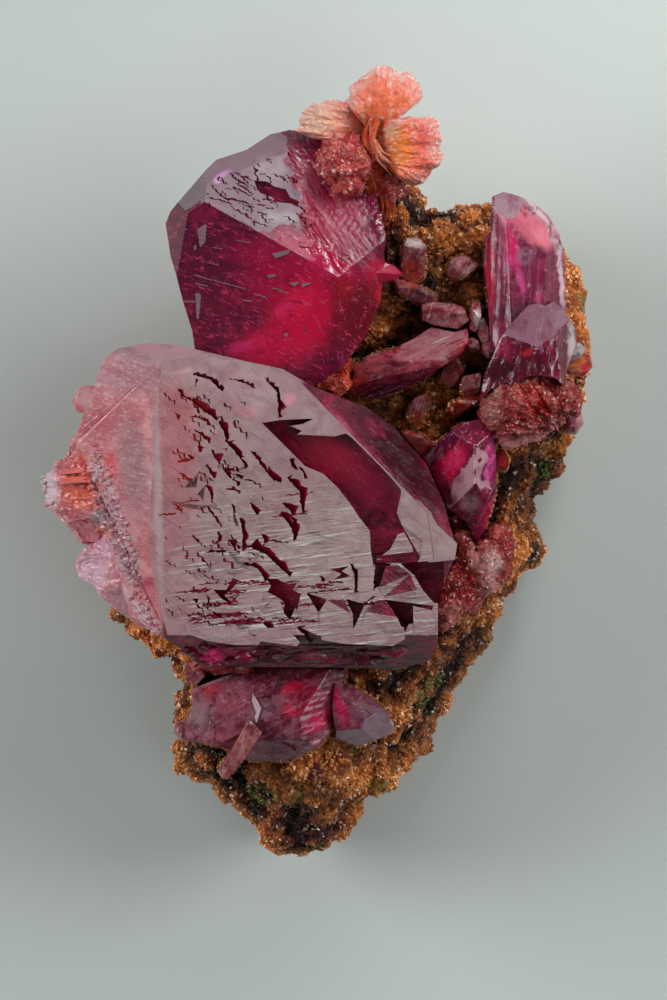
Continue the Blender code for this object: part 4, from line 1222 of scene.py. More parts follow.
def gossan_finish():
    """Rusty weathered iron ore: matt, with painted highlight in orange-brown on the tips and painted shade,
    nearly black, in the pits.
    """
    material, tree, shader, place = start("rusty_gossan")
    # Lighter on the tips and nearly black in the pits, by the relief: painted highlight and painted shade.
    high = tips_of(tree, RUST_LOW, RUST_HIGH)
    rust = painted(
        tree, "#180803", ("#BC5E24", high), ("#E88C3C", high, patches(tree, place, 0.5, 0.44, 0.6)),
        ("#4A4420", patches(tree, place, 0.9, 0.58, 0.68, seed=5.0, top=0.6)),
        ("#5A120A", patches(tree, place, 1.3, 0.5, 0.66, seed=8.0, top=0.75)),
    )
    grain = patches(tree, place, 0.06, 0.3, 0.7, detail=5.0)
    dress(tree, shader, rust, (grain,), 0.03, Roughness=0.75)
    return material


def druse_finish():
    """Tiny iron-stained crystals: glassy tips from honey to dark rust, some green, some white."""
    material, tree, shader, place = start("rusty_druse")
    tone = add(tree, "ShaderNodeAttribute", attribute_name="tone").outputs["Fac"]
    high = tips_of(tree, RUST_LOW, RUST_HIGH)
    bright = add(
        tree, "ShaderNodeMapRange", {"Value": tone, "From Min": 0.97, "From Max": 0.99},
    ).outputs[0]
    # By the relief, tips lighter and pits nearly black: painted highlight and painted shade.
    rust = painted(
        tree, "#240C04", ("#DC7830", high), ("#FFBC74", high, tone),
        ("#3A1608", patches(tree, place, 0.8, 0.56, 0.7, seed=2.0, top=0.8)),
    )
    pushed = wavering(tree, place, 0.3, 0.15)
    # Dark stains in the recesses beside the crystals: painted shade.
    rust = stained(tree, pushed, rust, [
        ("#2E1006", (548, 492), (1.1, 1.8), 0, 0.85), ("#33180A", (455, 655), (1.5, 1.0), 40, 0.8),
        ("#3E1C0C", (440, 745), (0.8, 0.9), 0, 0.6), ("#4A1A0E", (455, 330), (1.6, 1.2), 0, 0.6),
        ("#34180A", (540, 610), (0.6, 0.8), 0, 0.7), ("#34140A", (320, 810), (1.6, 0.8), 0, 0.75),
    ])
    rust = stained(
        tree, pushed, rust, [("#6E7C34", centre, size, 0.0, 0.8) for centre, size in GREEN_PATCHES],
    )
    dress(tree, shader, painted(tree, rust, ("#F0D0A8", bright)), Roughness=0.3, IOR=1.6)
    return material


rusty_gossan, rusty_druse = gossan_finish(), druse_finish()

# %% Evenly remade meshes
def remade(node, voxel):
    """A node's solid in millimetres, remade as even small faces."""
    bm = welded(node)
    thing = as_object(bm, "remade")
    bm.free()
    modifier = thing.modifiers.new("remesh", "REMESH")
    modifier.mode = "VOXEL"
    modifier.voxel_size = voxel
    bpy.context.view_layer.update()
    made = bmesh.new()
    made.from_mesh(thing.evaluated_get(bpy.context.evaluated_depsgraph_get()).to_mesh())
    bpy.data.objects.remove(thing)
    return made


CLUMPS = [
    ("soft", (1.3, 1.3, 1.3), 0.3, 0), ("knobs", (0.6, 0.6, 0.6), 0.42, 20),
    ("knobs", (0.26, 0.26, 0.26), 0.2, 0), ("soft", (0.12, 0.12, 0.12), 0.08, 0),
]
GOSSAN_FACE, CRUST_FACE = 0.095, 0.05  # mm
ROUGH_FROM, BARE_UP_TO = 0.4, 0.3  # mm: full roughness, and the first druse, above the back
# The druse thins out on the flanks, where the surface turns this far from the sky.
FLANK_FROM, FLANK_DRUSE = 0.15, 0.4


def build_matrix():
    bm = remade("matrix", GOSSAN_FACE)
    roughen(bm, CLUMPS, floor=0.0, lift=0.06, where=lambda p: min(1.0, max(0.0, p.z / ROUGH_FROM)))
    bed = bm.verts.layers.float.new("bed")
    bm.normal_update()
    for vert in bm.verts:
        thick = 1.0 if vert.normal.z > FLANK_FROM else FLANK_DRUSE
        vert[bed] = thick if vert.co.z > BARE_UP_TO else 0.0
    return bm


# %% Druse by Geometry Nodes
SPIKE_SIDES, SPIKE_SUNK = 4, 0.02  # the second is the mm of its foot below the surface


def druse_tree(name):
    """Spikes strewn over a mesh. Inputs: how many, their sides, width and height, and the seed."""
    tree = bpy.data.node_groups.new(name, "GeometryNodeTree")
    tree.interface.new_socket("Bed", in_out="INPUT", socket_type="NodeSocketGeometry")
    for label, kind in (
        ("Grains per mm2", "Float"), ("Sides", "Int"), ("Width", "Float"), ("Height", "Float"),
        ("Tilt", "Float"), ("Seed", "Int"), ("Finish", "Material"),
    ):
        tree.interface.new_socket(label, in_out="INPUT", socket_type="NodeSocket" + kind)
    tree.interface.new_socket("Druse", in_out="OUTPUT", socket_type="NodeSocketGeometry")
    given = add(tree, "NodeGroupInput").outputs
    bed = add(tree, "GeometryNodeInputNamedAttribute", {"Name": "bed"}, data_type="FLOAT")
    count = add(
        tree, "ShaderNodeMath", {0: bed.outputs[0], 1: given["Grains per mm2"]}, operation="MULTIPLY",
    )
    points = add(
        tree, "GeometryNodeDistributePointsOnFaces",
        {"Mesh": given["Bed"], "Density": count.outputs[0], "Seed": given["Seed"]},
    )
    grain = add(
        tree, "GeometryNodeMeshCone",
        {"Vertices": given["Sides"], "Radius Bottom": given["Width"], "Depth": given["Height"]},
    )
    sunk = add(
        tree, "GeometryNodeTransform",
        {"Geometry": grain.outputs["Mesh"], "Translation": (0, 0, -SPIKE_SUNK)},
    )
    most = add(tree, "ShaderNodeCombineXYZ", {"X": given["Tilt"], "Y": given["Tilt"], "Z": 3.14})
    least = add(tree, "ShaderNodeVectorMath", {0: most.outputs[0], "Scale": -1.0}, operation="SCALE")
    lean = add(
        tree, "FunctionNodeRandomValue", {"Min": least.outputs[0], "Max": most.outputs[0]},
        data_type="FLOAT_VECTOR",
    )
    turned = add(
        tree, "FunctionNodeRotateRotation",
        {"Rotation": points.outputs["Rotation"],
         "Rotate By": add(tree, "FunctionNodeEulerToRotation", {0: lean.outputs[0]}).outputs[0]},
        rotation_space="LOCAL",
    )
    size = add(tree, "FunctionNodeRandomValue", {2: 0.55, 3: 1.5, "Seed": 5}, data_type="FLOAT")
    grains = add(
        tree, "GeometryNodeInstanceOnPoints",
        {"Points": points.outputs["Points"], "Instance": sunk.outputs[0],
         "Rotation": turned.outputs[0], "Scale": size.outputs[1]},
    )
    tone = add(tree, "FunctionNodeRandomValue", {2: 0.0, 3: 1.0, "Seed": 9}, data_type="FLOAT")
    toned = add(
        tree, "GeometryNodeStoreNamedAttribute",
        {"Geometry": grains.outputs[0], "Name": "tone", "Value": tone.outputs[1]},
        data_type="FLOAT", domain="INSTANCE",
    )
    real = add(tree, "GeometryNodeRealizeInstances", {"Geometry": toned.outputs[0]})
    done = add(
        tree, "GeometryNodeSetMaterial", {"Geometry": real.outputs[0], "Material": given["Finish"]},
    )
    add(tree, "NodeGroupOutput", {"Druse": done.outputs[0]})
    return tree


DRUSE = druse_tree("druse")


def sown(bed, name, finish, per_mm2, seed, width=0.05, height=0.085, tilt=0.9):
    """Grow druse on a copy of a bed, which is a bmesh. Sizes are in mm, the tilt in radians."""
    if not bed.verts.layers.float.get("bed"):
        ground = bed.verts.layers.float.new("bed")
        for vert in bed.verts:
            vert[ground] = 1.0
    thing = as_object(bed, name)
    modifier = thing.modifiers.new("druse", "NODES")
    modifier.node_group = DRUSE
    given = {
        "Grains per mm2": per_mm2, "Sides": SPIKE_SIDES, "Width": width, "Height": height,
        "Tilt": tilt, "Seed": seed, "Finish": finish,
    }
    for socket in DRUSE.interface.items_tree:
        if socket.name in given:
            modifier[socket.identifier] = given[socket.name]
    bpy.context.view_layer.update()
    graph = bpy.context.evaluated_depsgraph_get()
    made = bpy.data.meshes.new_from_object(thing.evaluated_get(graph), depsgraph=graph)
    bpy.data.objects.remove(thing)
    made.transform(Matrix.Scale(MM, 4))
    as_piece(name, made)


bed = build_matrix()
ground_top = top_of(bed)
sown(bed, "matrix_druse", rusty_druse, 95.0, 3)
finished("matrix_gossan", bed, rusty_gossan, "matrix")

# %% [markdown]
# ## The rosettes
# At the top, thinner roselite grew as fans of blades from one root, like the ribs of a scallop
# shell. They are salmon pink with a frosted rim, and orange where they are thick, an orange that is
# partly their colour and partly painted glow. Each petal is a closed fan: rays run from its wide
# root to its rim, its two skins meet at the rim, and every ray carries its own small ridge. The mesh
# keeps two numbers for the material: which ray a point is on, and how far out it is. The other
# parts are a dome of packed sheaf ends, an orange core and loose fibres, and Geometry Nodes sow the
# domes with small silver scales.

# %% Fans, domes and needles
RAYS, RINGS = 130, 34


def fan(bm, root, rim, low, high, crown, thick, seed, ridge, curl):
    """A closed fan between a root line and a rim line. low and high are their heights in mm."""
    ray_of = bm.verts.layers.float.get("ray") or bm.verts.layers.float.new("ray")
    reach_of = bm.verts.layers.float.get("reach") or bm.verts.layers.float.new("reach")
    feet, ends = along(root, RAYS), along(rim, RAYS)
    skins = []
    for side in (1, -1):
        rows = []
        for i, (foot, end) in enumerate(zip(feet, ends)):
            t = i / (RAYS - 1)
            edge = min(1.0, 10 * min(t, 1 - t))
            row = []
            for j in range(RINGS + 1):
                u = j / RINGS
                bent = t + 0.05 * noise.noise(Vector((t * 5, u * 2, seed + 9))) * u
                scallop = 0.05 * noise.noise(Vector((t * 14, seed, 0))) + 0.03 * noise.noise(
                    Vector((t * 50, seed, 3)))
                place = foot.lerp(end, u * (1 + scallop * u))
                folds = abs(noise.noise(Vector((bent * 8, u * 1.6, seed)))) + 0.4 * abs(
                    noise.noise(Vector((bent * 20, u * 4.0, seed + 5))))
                grain = (
                    noise.noise(Vector((place.x / 0.1, place.y / 0.1, seed))) * 0.07 * u
                    + noise.noise(Vector((place.x / 0.28, place.y / 0.28, seed + 2))) * 0.12 * u
                )
                z = low + (high - low) * u + crown * math.sin(math.pi * min(1.0, u * 0.7 + 0.12))
                z += curl * (t - 0.5) * u
                bulk = 0.14 + 0.86 * math.sin(math.pi * min(0.97, u * 0.85 + 0.1)) ** 0.8
                body = thick * edge * bulk
                relief = ridge * (folds - 0.3) + grain
                z += side * body / 2 + side * relief * min(1.0, u * 1.6) * edge
                vert = bm.verts.new((place.x, place.y, z))
                vert[ray_of], vert[reach_of] = t * 5 + seed * 3, u
                row.append(vert)
            rows.append(row)
        skins.append(rows)
        for a, b in zip(rows, rows[1:]):
            for j in range(RINGS):
                corners = (a[j], b[j], b[j + 1], a[j + 1])
                bm.faces.new(corners if side < 0 else reversed(corners))
    upper_skin, lower_skin = skins
    for a, b, c, d in zip(upper_skin, upper_skin[1:], lower_skin, lower_skin[1:]):
        bm.faces.new((a[-1], b[-1], d[-1], c[-1]))
        bm.faces.new((b[0], a[0], c[0], d[0]))
    for k in (0, -1):
        above, below = upper_skin[k], lower_skin[k]
        for j in range(RINGS):
            bm.faces.new((above[j], above[j + 1], below[j + 1], below[j]))
    bmesh.ops.recalc_face_normals(bm, faces=bm.faces)


def dome(outline, low, rise, depth, face, layers, about=None, rays=90, rings=24):
    """A rounded mass over an outline on the sheet, closed below, refined and roughened."""
    bm = bmesh.new()
    rim = along(outline, rays, shut=True)
    centre = middle_of(rim)
    below = [
        [(*centre.lerp(p, u), low - drop * depth) for p in rim] for u, drop in ((0.5, 1.0), (0.85, 0.3))
    ]
    above = [
        [(*centre.lerp(p, j / rings), low + rise * (1 - (j / rings) ** 2.6)) for p in rim]
        for j in range(rings, 0, -1)
    ]
    closed_shape(bm, [*below, *above])
    bmesh.ops.triangulate(bm, faces=bm.faces)
    bmesh.ops.recalc_face_normals(bm, faces=bm.faces)
    refine(bm, face)
    roughen(bm, layers, about=about)
    return bm


def needles(bm, dice, root, tips, low, high, count, width, bow):
    """Tapered needles from about one root to places spread along the tips, heights low to high."""
    foot = Vector(on_sheet(*root))
    for end in along(tips, count):
        end = foot.lerp(end, dice.uniform(0.7, 1.04))
        base = foot + Vector((dice.uniform(-0.1, 0.1), dice.uniform(-0.1, 0.1)))
        thick, lift = width * dice.uniform(0.6, 1.4), dice.uniform(-0.08, 0.12)
        run = end - base
        side = Vector((-run.y, run.x)).normalized()
        rings = []
        for u, share in ((0.0, 1.0), (0.35, 1.1), (0.7, 0.8), (1.0, 0.12)):
            place = base + run * u + side * bow * math.sin(math.pi * u)
            z = low + (high - low) * u + lift + 0.12 * math.sin(math.pi * u)
            rings.append([
                (place.x + side.x * math.cos(turn) * thick * share,
                 place.y + side.y * math.cos(turn) * thick * share,
                 z + math.sin(turn) * thick * share)
                for turn in (math.radians(a) for a in (10, 82, 154, 226, 298))
            ])
        closed_shape(bm, rings)
    bmesh.ops.recalc_face_normals(bm, faces=bm.faces)


print("fans, domes and needles ready")

# %% Finishes of the rosettes
def petal_finish():
    """Thin bladed roselite: frosted salmon rim, orange furrows, glassy, its orange partly painted glow."""
    material, tree, shader, place = roselite("salmon_petals", pale=True)
    ray = add(tree, "ShaderNodeAttribute", attribute_name="ray").outputs["Fac"]
    reach = add(tree, "ShaderNodeAttribute", attribute_name="reach").outputs["Fac"]
    polar = add(tree, "ShaderNodeCombineXYZ", {"X": ray, "Y": reach}).outputs[0]
    bent = wavering(tree, polar, 0.6, 0.05)
    pushed = wavering(tree, place, 0.25, 0.12)
    inner = add(
        tree, "ShaderNodeMapRange", {"Value": reach, "From Min": 0.95, "From Max": 0.3},
        interpolation_type="SMOOTHSTEP",
    ).outputs[0]
    rim = add(
        tree, "ShaderNodeMapRange", {"Value": reach, "From Min": 0.72, "From Max": 1.0},
    ).outputs[0]
    furrows = patches(tree, bent, (0.4, 0.7, 1.0), 0.52, 0.64, detail=5.0, top=0.8)
    pale_rays = patches(tree, bent, (0.3, 0.5, 1.0), 0.52, 0.66, detail=5.0, seed=7.0, top=0.45)
    frost = patches(tree, place, 0.1, 0.44, 0.6, detail=5.0)
    body = painted(
        tree, "#FF8E7C", ("#FFB4A4", patches(tree, place, 0.3, 0.42, 0.6, detail=5.0)),
        ("#FF7A42", inner, patches(tree, place, 0.45, 0.4, 0.58, seed=5.0)),
        ("#F2481E", furrows, inner), ("#FFD4C6", pale_rays),
    )
    body = stained(tree, pushed, body, [
        ("#FF8420", (400, 152), (0.55, 0.75), -40, 0.9), ("#FFC080", (393, 131), (0.26, 0.22), 15, 0.8),
        ("#F05A4E", (424, 138), (0.5, 0.6), -30, 0.8), ("#FF6A4C", (424, 166), (0.5, 0.5), 0, 0.8),
        ("#FF6A2C", (386, 100), (0.22, 0.6), -12, 0.8), ("#FF7434", (400, 104), (0.3, 0.3), -40, 0.7),
        ("#FFC8AC", (318, 120), (0.8, 0.5), 10, 0.9), ("#FF7A54", (385, 90), (0.8, 0.6), 0, 0.75),
    ])
    body = painted(tree, body, ("#FFE4DE", rim, frost), ("#FFF0EC", frost, pale_rays))
    dress(tree, shader, body, (furrows, frost), 0.02, Transmission_Weight=0.12, Roughness=0.22)
    return material


def sheaf_finish(name, deep, middle, tips, stains, clear=0.14):
    """Sheaf ends seen head on: tiny tips painted pale as a painted highlight, over a red body."""
    material, tree, shader, place = roselite(name, pale=True)
    height = tips_of(tree, 0.0, 0.24)
    fine = patches(tree, place, 0.08, 0.46, 0.6, detail=4.0, seed=2.0)
    body = painted(tree, deep, (middle, patches(tree, place, 0.35, 0.4, 0.64, detail=4.0)))
    body = stained(tree, wavering(tree, place, 0.3, 0.15), body, stains)
    # Pale tips by the relief: painted highlight.
    body = painted(tree, body, (tips, height, fine))
    dress(tree, shader, body, (fine,), 0.02, Transmission_Weight=clear, Roughness=0.22)
    return material


def scale_finish(name, colour, dark):
    """Tiny cleavage scales, between silver and the colour of what they grew on."""
    material, tree, shader, place = roselite(name, pale=True)
    tone = add(tree, "ShaderNodeAttribute", attribute_name="tone").outputs["Fac"]
    body = painted(tree, dark, (colour, tone, patches(tree, place, 0.3, 0.4, 0.6)))
    dress(tree, shader, body, Transmission_Weight=0.1, Roughness=0.22)
    return material


salmon_petals = petal_finish()
silver_sheaf = sheaf_finish(
    "silver_tipped_sheaf", "#B43434", "#D85C54", "#E8C4C4",
    [("#E0442A", (372, 188), (0.5, 0.6), 0, 0.8), ("#E8804A", (362, 150), (0.2, 0.3), 0, 0.4),
     ("#C83A44", (345, 195), (0.5, 0.3), 0, 0.6)],
)
orange_core = sheaf_finish(
    "orange_core", "#FF5420", "#FF8434", "#FFC49A",
    [("#D02C1C", (372, 195), (0.6, 0.5), 0, 0.8), ("#F8A84E", (392, 134), (0.4, 0.3), 0, 0.7)],
    clear=0.15,
)
brown_sheaf = sheaf_finish(
    "brown_pink_sheaf", "#8E1412", "#B03430", "#D8A8A0",
    [("#B01810", (540, 402), (0.8, 0.6), -20, 0.9), ("#A87C74", (492, 405), (0.35, 0.8), 0, 0.5),
     ("#A02824", (560, 392), (0.5, 0.4), 20, 0.6), ("#E89090", (520, 442), (0.9, 0.2), 8, 0.8),
     ("#E08084", (552, 430), (0.5, 0.2), 30, 0.8)],
)
pink_granular = sheaf_finish(
    "pink_granular_crust", "#981410", "#BC3028", "#E6B0A6",
    [("#8E120A", (458, 560), (0.5, 1.1), 0, 0.9), ("#D8A09C", (486, 575), (0.4, 1.0), 25, 0.6),
     ("#F0D0CC", (494, 560), (0.3, 0.45), 10, 0.6), ("#D8605A", (496, 528), (0.35, 0.35), 30, 0.8),
     ("#D87A74", (450, 615), (0.7, 0.4), 20, 0.8), ("#C86A68", (505, 600), (0.4, 0.4), 0, 0.7)],
)
fibre_red = sheaf_finish(
    "fibrous_roselite", "#D83A1C", "#F87840", "#FFC0A0",
    [("#C8929A", (306, 362), (0.4, 0.4), 0, 0.8), ("#D8301E", (340, 370), (0.5, 0.5), 0, 0.5),
     ("#FFB090", (386, 150), (0.4, 0.7), 20, 0.7)],
    clear=0.3,
)
silver_scales = scale_finish("silver_scales", "#F0D4D0", "#C83838")
rosy_scales = scale_finish("rosy_scales", "#E0B8B0", "#98241E")
pink_scales = scale_finish("pink_scales", "#F4CCC4", "#A8241C")

# %% Build the top rosette
TOP_ROOT = [(358, 118), (366, 126), (378, 129), (388, 126), (394, 119)]
TOP_RIM = [
    (352, 108), (345.5, 103), (344.6, 100), (350, 94), (349, 87.5), (355, 81), (361, 77), (370, 69),
    (377, 64.5), (384, 65), (395, 67.5), (397, 71), (404, 71), (413, 73), (416, 77), (419, 83),
    (424, 94), (419, 102), (412, 107), (404, 114),
]
LEFT_ROOT = [(353, 104), (362, 116), (364, 128), (356, 138), (342, 142)]
LEFT_RIM = [
    (347, 102), (339, 99), (328, 98.4), (323, 100), (320, 103), (311, 102.5), (304.5, 108), (300, 118),
    (299, 124), (295, 130), (304, 134), (314, 138), (330, 141),
]
RIGHT_ROOT = [(386, 117), (378, 130), (378, 146), (384, 162), (396, 176)]
RIGHT_RIM = [
    (393, 117), (402, 117), (410, 115), (418, 117), (429, 115), (437, 119), (441, 124), (440, 131),
    (442, 138.5), (439, 148), (442, 151.5), (443, 158), (440, 164.5), (435, 168), (430, 174),
    (425, 182), (414, 185), (404, 183),
]
HEAD = [
    (315, 153), (326, 141), (341, 135), (354, 133), (367, 136), (374, 142), (380, 153), (378, 163),
    (372, 174), (365, 180), (361, 192), (352, 200), (339, 203.5), (333, 199), (334, 184), (323, 186),
    (319, 169),
]
BULGE = [(374, 168), (386, 166), (399, 170), (404, 180), (402, 192), (392, 201), (380, 200), (373, 190)]
CORE = [
    (350, 106), (372, 104), (394, 112), (402, 122), (408, 140), (408, 160), (404, 178), (392, 192),
    (372, 196), (356, 180), (346, 150), (334, 140), (338, 120),
]
GRAINS = [
    ("soft", (0.34, 0.34, 0.34), 0.12, 0), ("tips", (0.1, 0.075, 0.1), 0.22, 25),
    ("ridges", (0.16, 0.1, 0.12), 0.06, 40),
]
FURROWS = [("ridges", (0.09, 0.8, 0.6), 0.12, 0), ("soft", (0.2, 0.3, 0.3), 0.1, 0)]

PETALS = [
    # root, rim, height of the root and of the rim, crown, thickness, seed, ridges, curl; all in mm
    (TOP_ROOT, TOP_RIM, 6.1, 5.9, 0.4, 0.8, 1.0, 0.09, 0.3),
    (LEFT_ROOT, LEFT_RIM, 5.9, 5.75, 0.35, 0.7, 2.0, 0.09, 0.0),
    (RIGHT_ROOT, RIGHT_RIM, 6.3, 6.0, 0.5, 0.9, 3.0, 0.14, 0.0),
]
STRANDS = [
    # root, line of tips, height of the root and of the tips, how many, width, bow
    ((373, 168), [(356, 214), (372, 224), (388, 226), (398, 214)], 6.5, 5.7, 40, 0.06, 0.15),
    ((374, 120), [(380, 168), (392, 174), (403, 168)], 6.75, 6.85, 18, 0.05, -0.3),
    ((322, 386), [(314, 352), (336, 345), (352, 356), (352, 374)], 5.9, 6.7, 46, 0.05, 0.15),
]

petals = bmesh.new()
for petal in PETALS:
    fan(petals, *petal)
finished("rosette_petals", petals, salmon_petals, "top_rosette")
core = dome(CORE, 5.5, 0.75, 1.8, 0.1, FURROWS, about=(376, 150))
finished("rosette_core", core, orange_core)
head = dome(HEAD, 6.35, 0.95, 1.7, 0.075, GRAINS)
sown(head, "rosette_scales", silver_scales, 60.0, 6, height=0.03, tilt=0.7)
finished("rosette_head", head, silver_sheaf)
bulge = dome(BULGE, 5.9, 0.7, 1.5, 0.075, GRAINS, rays=50, rings=12)
finished("rosette_bulge", bulge, silver_sheaf)
strands, strand_dice = bmesh.new(), random.Random(5)
for strand in STRANDS:
    needles(strands, strand_dice, *strand)
finished("rosette_strands", strands, fibre_red)

# %% Build the brown-pink crusts
RIGHT_ROSETTE = [
    (479, 400), (481, 392), (488, 382), (497, 375), (507, 373), (516.6, 376), (521, 370), (529, 366),
    (542, 366), (555, 368), (563, 375), (572.7, 381), (582, 391), (583, 402), (577, 412), (566, 418),
    (561, 425), (551, 429), (541, 436), (533, 443), (524, 446), (512, 445), (503, 447), (494, 440),
    (485, 434), (479, 424), (477, 412),
]
SCALLOPS = [
    ("ridges", (0.1, 0.7, 0.5), 0.16, 0), ("steps", (0.34, 0.3, 0.5), 0.16, 0),
    ("soft", (0.5, 0.4, 0.4), 0.1, 0), ("tips", (0.07, 0.12, 0.1), 0.1, 0),
]
CRUST_GRAINS = [
    ("soft", (0.4, 0.4, 0.4), 0.16, 0), ("steps", (0.35, 0.2, 0.3), 0.1, 35),
    ("tips", (0.1, 0.08, 0.1), 0.16, -25),
]

scalloped = dome(RIGHT_ROSETTE, 6.35, 1.05, 1.35, 0.07, SCALLOPS, about=(560, 430))
sown(scalloped, "right_rosette_scales", rosy_scales, 40.0, 8, height=0.03, tilt=0.6)
finished("right_rosette_scalloped", scalloped, brown_sheaf, "right_rosette")

for crust, finish, grains, per_mm2 in (
    ("pink_crust", pink_granular, pink_scales, 60.0), ("fibre_sheaf", fibre_red, rosy_scales, 25.0),
):
    rough = remade(crust, CRUST_FACE)
    roughen(rough, CRUST_GRAINS, lift=0.04)
    sown(rough, crust + "_scales", grains, per_mm2, 4, width=0.045, height=0.04, tilt=0.8)
    finished(crust + "_grains", rough, finish, crust)

# %% [markdown]
# ## The smaller crystals
#
# Each of these keeps its solid's shape, and gets growth lines along its length, a finish with its
# own stains, and a skin on the facets that shine. They are swollen by a few hundredths of a
# millimetre, which closes the seam round their feet.

# %% Finishes of the smaller crystals
def stained_roselite(
    name, ground, flaw, stains, skin, threads, clear, rough=0.12, pale=False, gloss=BACK_GLOSS,
):
    """Roselite with its own stains. threads are growth lines: their colour, turn and strength."""
    material, tree, shader, place = roselite(name, pale=pale)
    shader.inputs["Specular IOR Level"].default_value = gloss
    pushed = wavering(tree, place, 0.25, 0.12)
    close = wavering(tree, place, 0.12, 0.05)
    covered = add(tree, "ShaderNodeAttribute", attribute_name="skin").outputs["Fac"]
    body = painted(tree, ground, (flaw, patches(tree, place, 0.25, 0.42, 0.64, detail=6.0)))
    body = stained(tree, pushed, body, stains)
    colour, turn, strength = threads
    lines = patches(
        tree, close, (0.9, 0.05, 0.4), 0.56, 0.66, detail=3.0, turn=turn, seed=4.0, top=strength,
    )
    veils = patches(tree, place, (0.14, 0.22, 0.2), 0.58, 0.68, detail=6.0, seed=11.0, top=0.4)
    dark = patches(tree, place, (0.2, 0.26, 0.2), 0.52, 0.64, detail=6.0, seed=15.0, top=0.6)
    body = painted(tree, body, ("#3C0A20", dark), (colour, lines), (colour, veils))
    crust = painted(
        tree, skin, (ground, patches(tree, place, 0.4, 0.42, 0.7, detail=5.0, seed=6.0, top=0.55)),
        (colour, lines),
    )
    share = between(tree, covered, clear, 0.3)
    swell = patches(tree, place, (0.5, 0.22, 0.4), 0.25, 0.75, turn=turn, detail=4.0)
    dress(
        tree, shader, painted(tree, body, (crust, covered)), (lines, swell), 0.006,
        Transmission_Weight=share, Roughness=rough,
    )
    return material


blade_roselite = stained_roselite(
    "blade_roselite", "#7E1440", "#A83A60",
    [
        ("#F87C92", (526, 222), (1.0, 0.5), -40, 0.8), ("#FF8C9C", (545, 236), (0.45, 0.5), -50, 0.8),
        ("#E8708C", (506, 216), (0.35, 0.4), 0, 0.8), ("#E82A74", (512, 246), (0.25, 0.8), 10, 0.85),
        ("#D8A0AC", (538, 210), (1.3, 0.22), -46, 0.7), ("#DCC0C8", (556, 242), (0.6, 0.12), -62, 0.7),
        ("#C8183C", (491, 275), (0.16, 1.4), 0, 0.95), ("#8A1444", (535, 275), (0.7, 0.5), 0, 0.75),
        ("#5A0E30", (520, 312), (0.8, 0.5), 0, 0.8), ("#A88498", (525, 256), (0.3, 0.3), 0, 0.5),
        ("#E04890", (522, 282), (0.12, 0.5), 12, 0.8), ("#D83C80", (512, 262), (0.4, 0.2), 0, 0.7),
        ("#E06090", (538, 300), (0.1, 0.4), -10, 0.7), ("#F4D0DA", (561, 275), (0.1, 1.2), 4, 0.9),
        ("#F8D8E0", (540, 212), (0.8, 0.1), -48, 0.8),
    ],
    skin="#B890A0", threads=("#F0A8C0", 85.0, 0.16), clear=0.28, rough=0.2,
)
pyramid_roselite = stained_roselite(
    "pyramid_roselite", "#640824", "#8E1438",
    [
        ("#B81E54", (504, 348), (0.3, 0.4), 0, 0.8), ("#D82838", (527, 352), (0.2, 0.14), 0, 0.9),
        ("#E884B4", (537, 336), (0.05, 0.4), 8, 0.9), ("#E884B4", (530, 338), (0.04, 0.45), 8, 0.9),
        ("#4E0820", (498, 372), (0.5, 0.5), 0, 0.8), ("#8A2848", (556, 338), (0.4, 0.4), 0, 0.6),
        ("#C890A0", (522, 322), (0.5, 0.3), 30, 0.7), ("#E8D4DC", (572, 345), (0.16, 0.9), 0, 0.9),
    ],
    skin="#98687A", threads=("#E8B8CC", 80.0, 0.15), clear=0.4, rough=0.08,
)
point_roselite = stained_roselite(
    "point_roselite", "#6E0C34", "#9A1840",
    [
        ("#E81450", (450, 466), (0.4, 0.8), -35, 0.95), ("#FF3A70", (456, 458), (0.3, 0.4), -35, 0.8),
        ("#6A1040", (440, 440), (0.9, 0.3), 25, 0.9), ("#F03CA0", (490, 462), (0.16, 0.75), 0, 0.95),
        ("#F060B0", (487, 478), (0.12, 0.4), 0, 0.8), ("#E87890", (463, 484), (0.4, 0.3), 20, 0.6),
        ("#D81050", (486, 518), (0.25, 0.7), -25, 0.9), ("#A87880", (470, 504), (0.4, 0.3), 0, 0.8),
    ],
    skin="#DCA4B0", threads=("#E8B8C4", 62.0, 0.2), clear=0.25,
)
centre_roselite = stained_roselite(
    "centre_blade_roselite", "#942438", "#B85060",
    [
        ("#681038", (395, 390), (1.8, 0.4), 14, 0.95), ("#D82C40", (462, 352), (0.2, 0.6), -20, 0.9),
        ("#C85058", (368, 370), (0.6, 0.3), 20, 0.8), ("#B82428", (352, 380), (0.6, 0.5), 0, 0.8),
        ("#D8C0C0", (440, 340), (0.55, 0.14), 22, 0.9), ("#C89090", (418, 352), (0.8, 0.2), 18, 0.6),
    ],
    skin="#B87880", threads=("#F0D8D8", 20.0, 0.2), clear=0.25, rough=0.14,
)
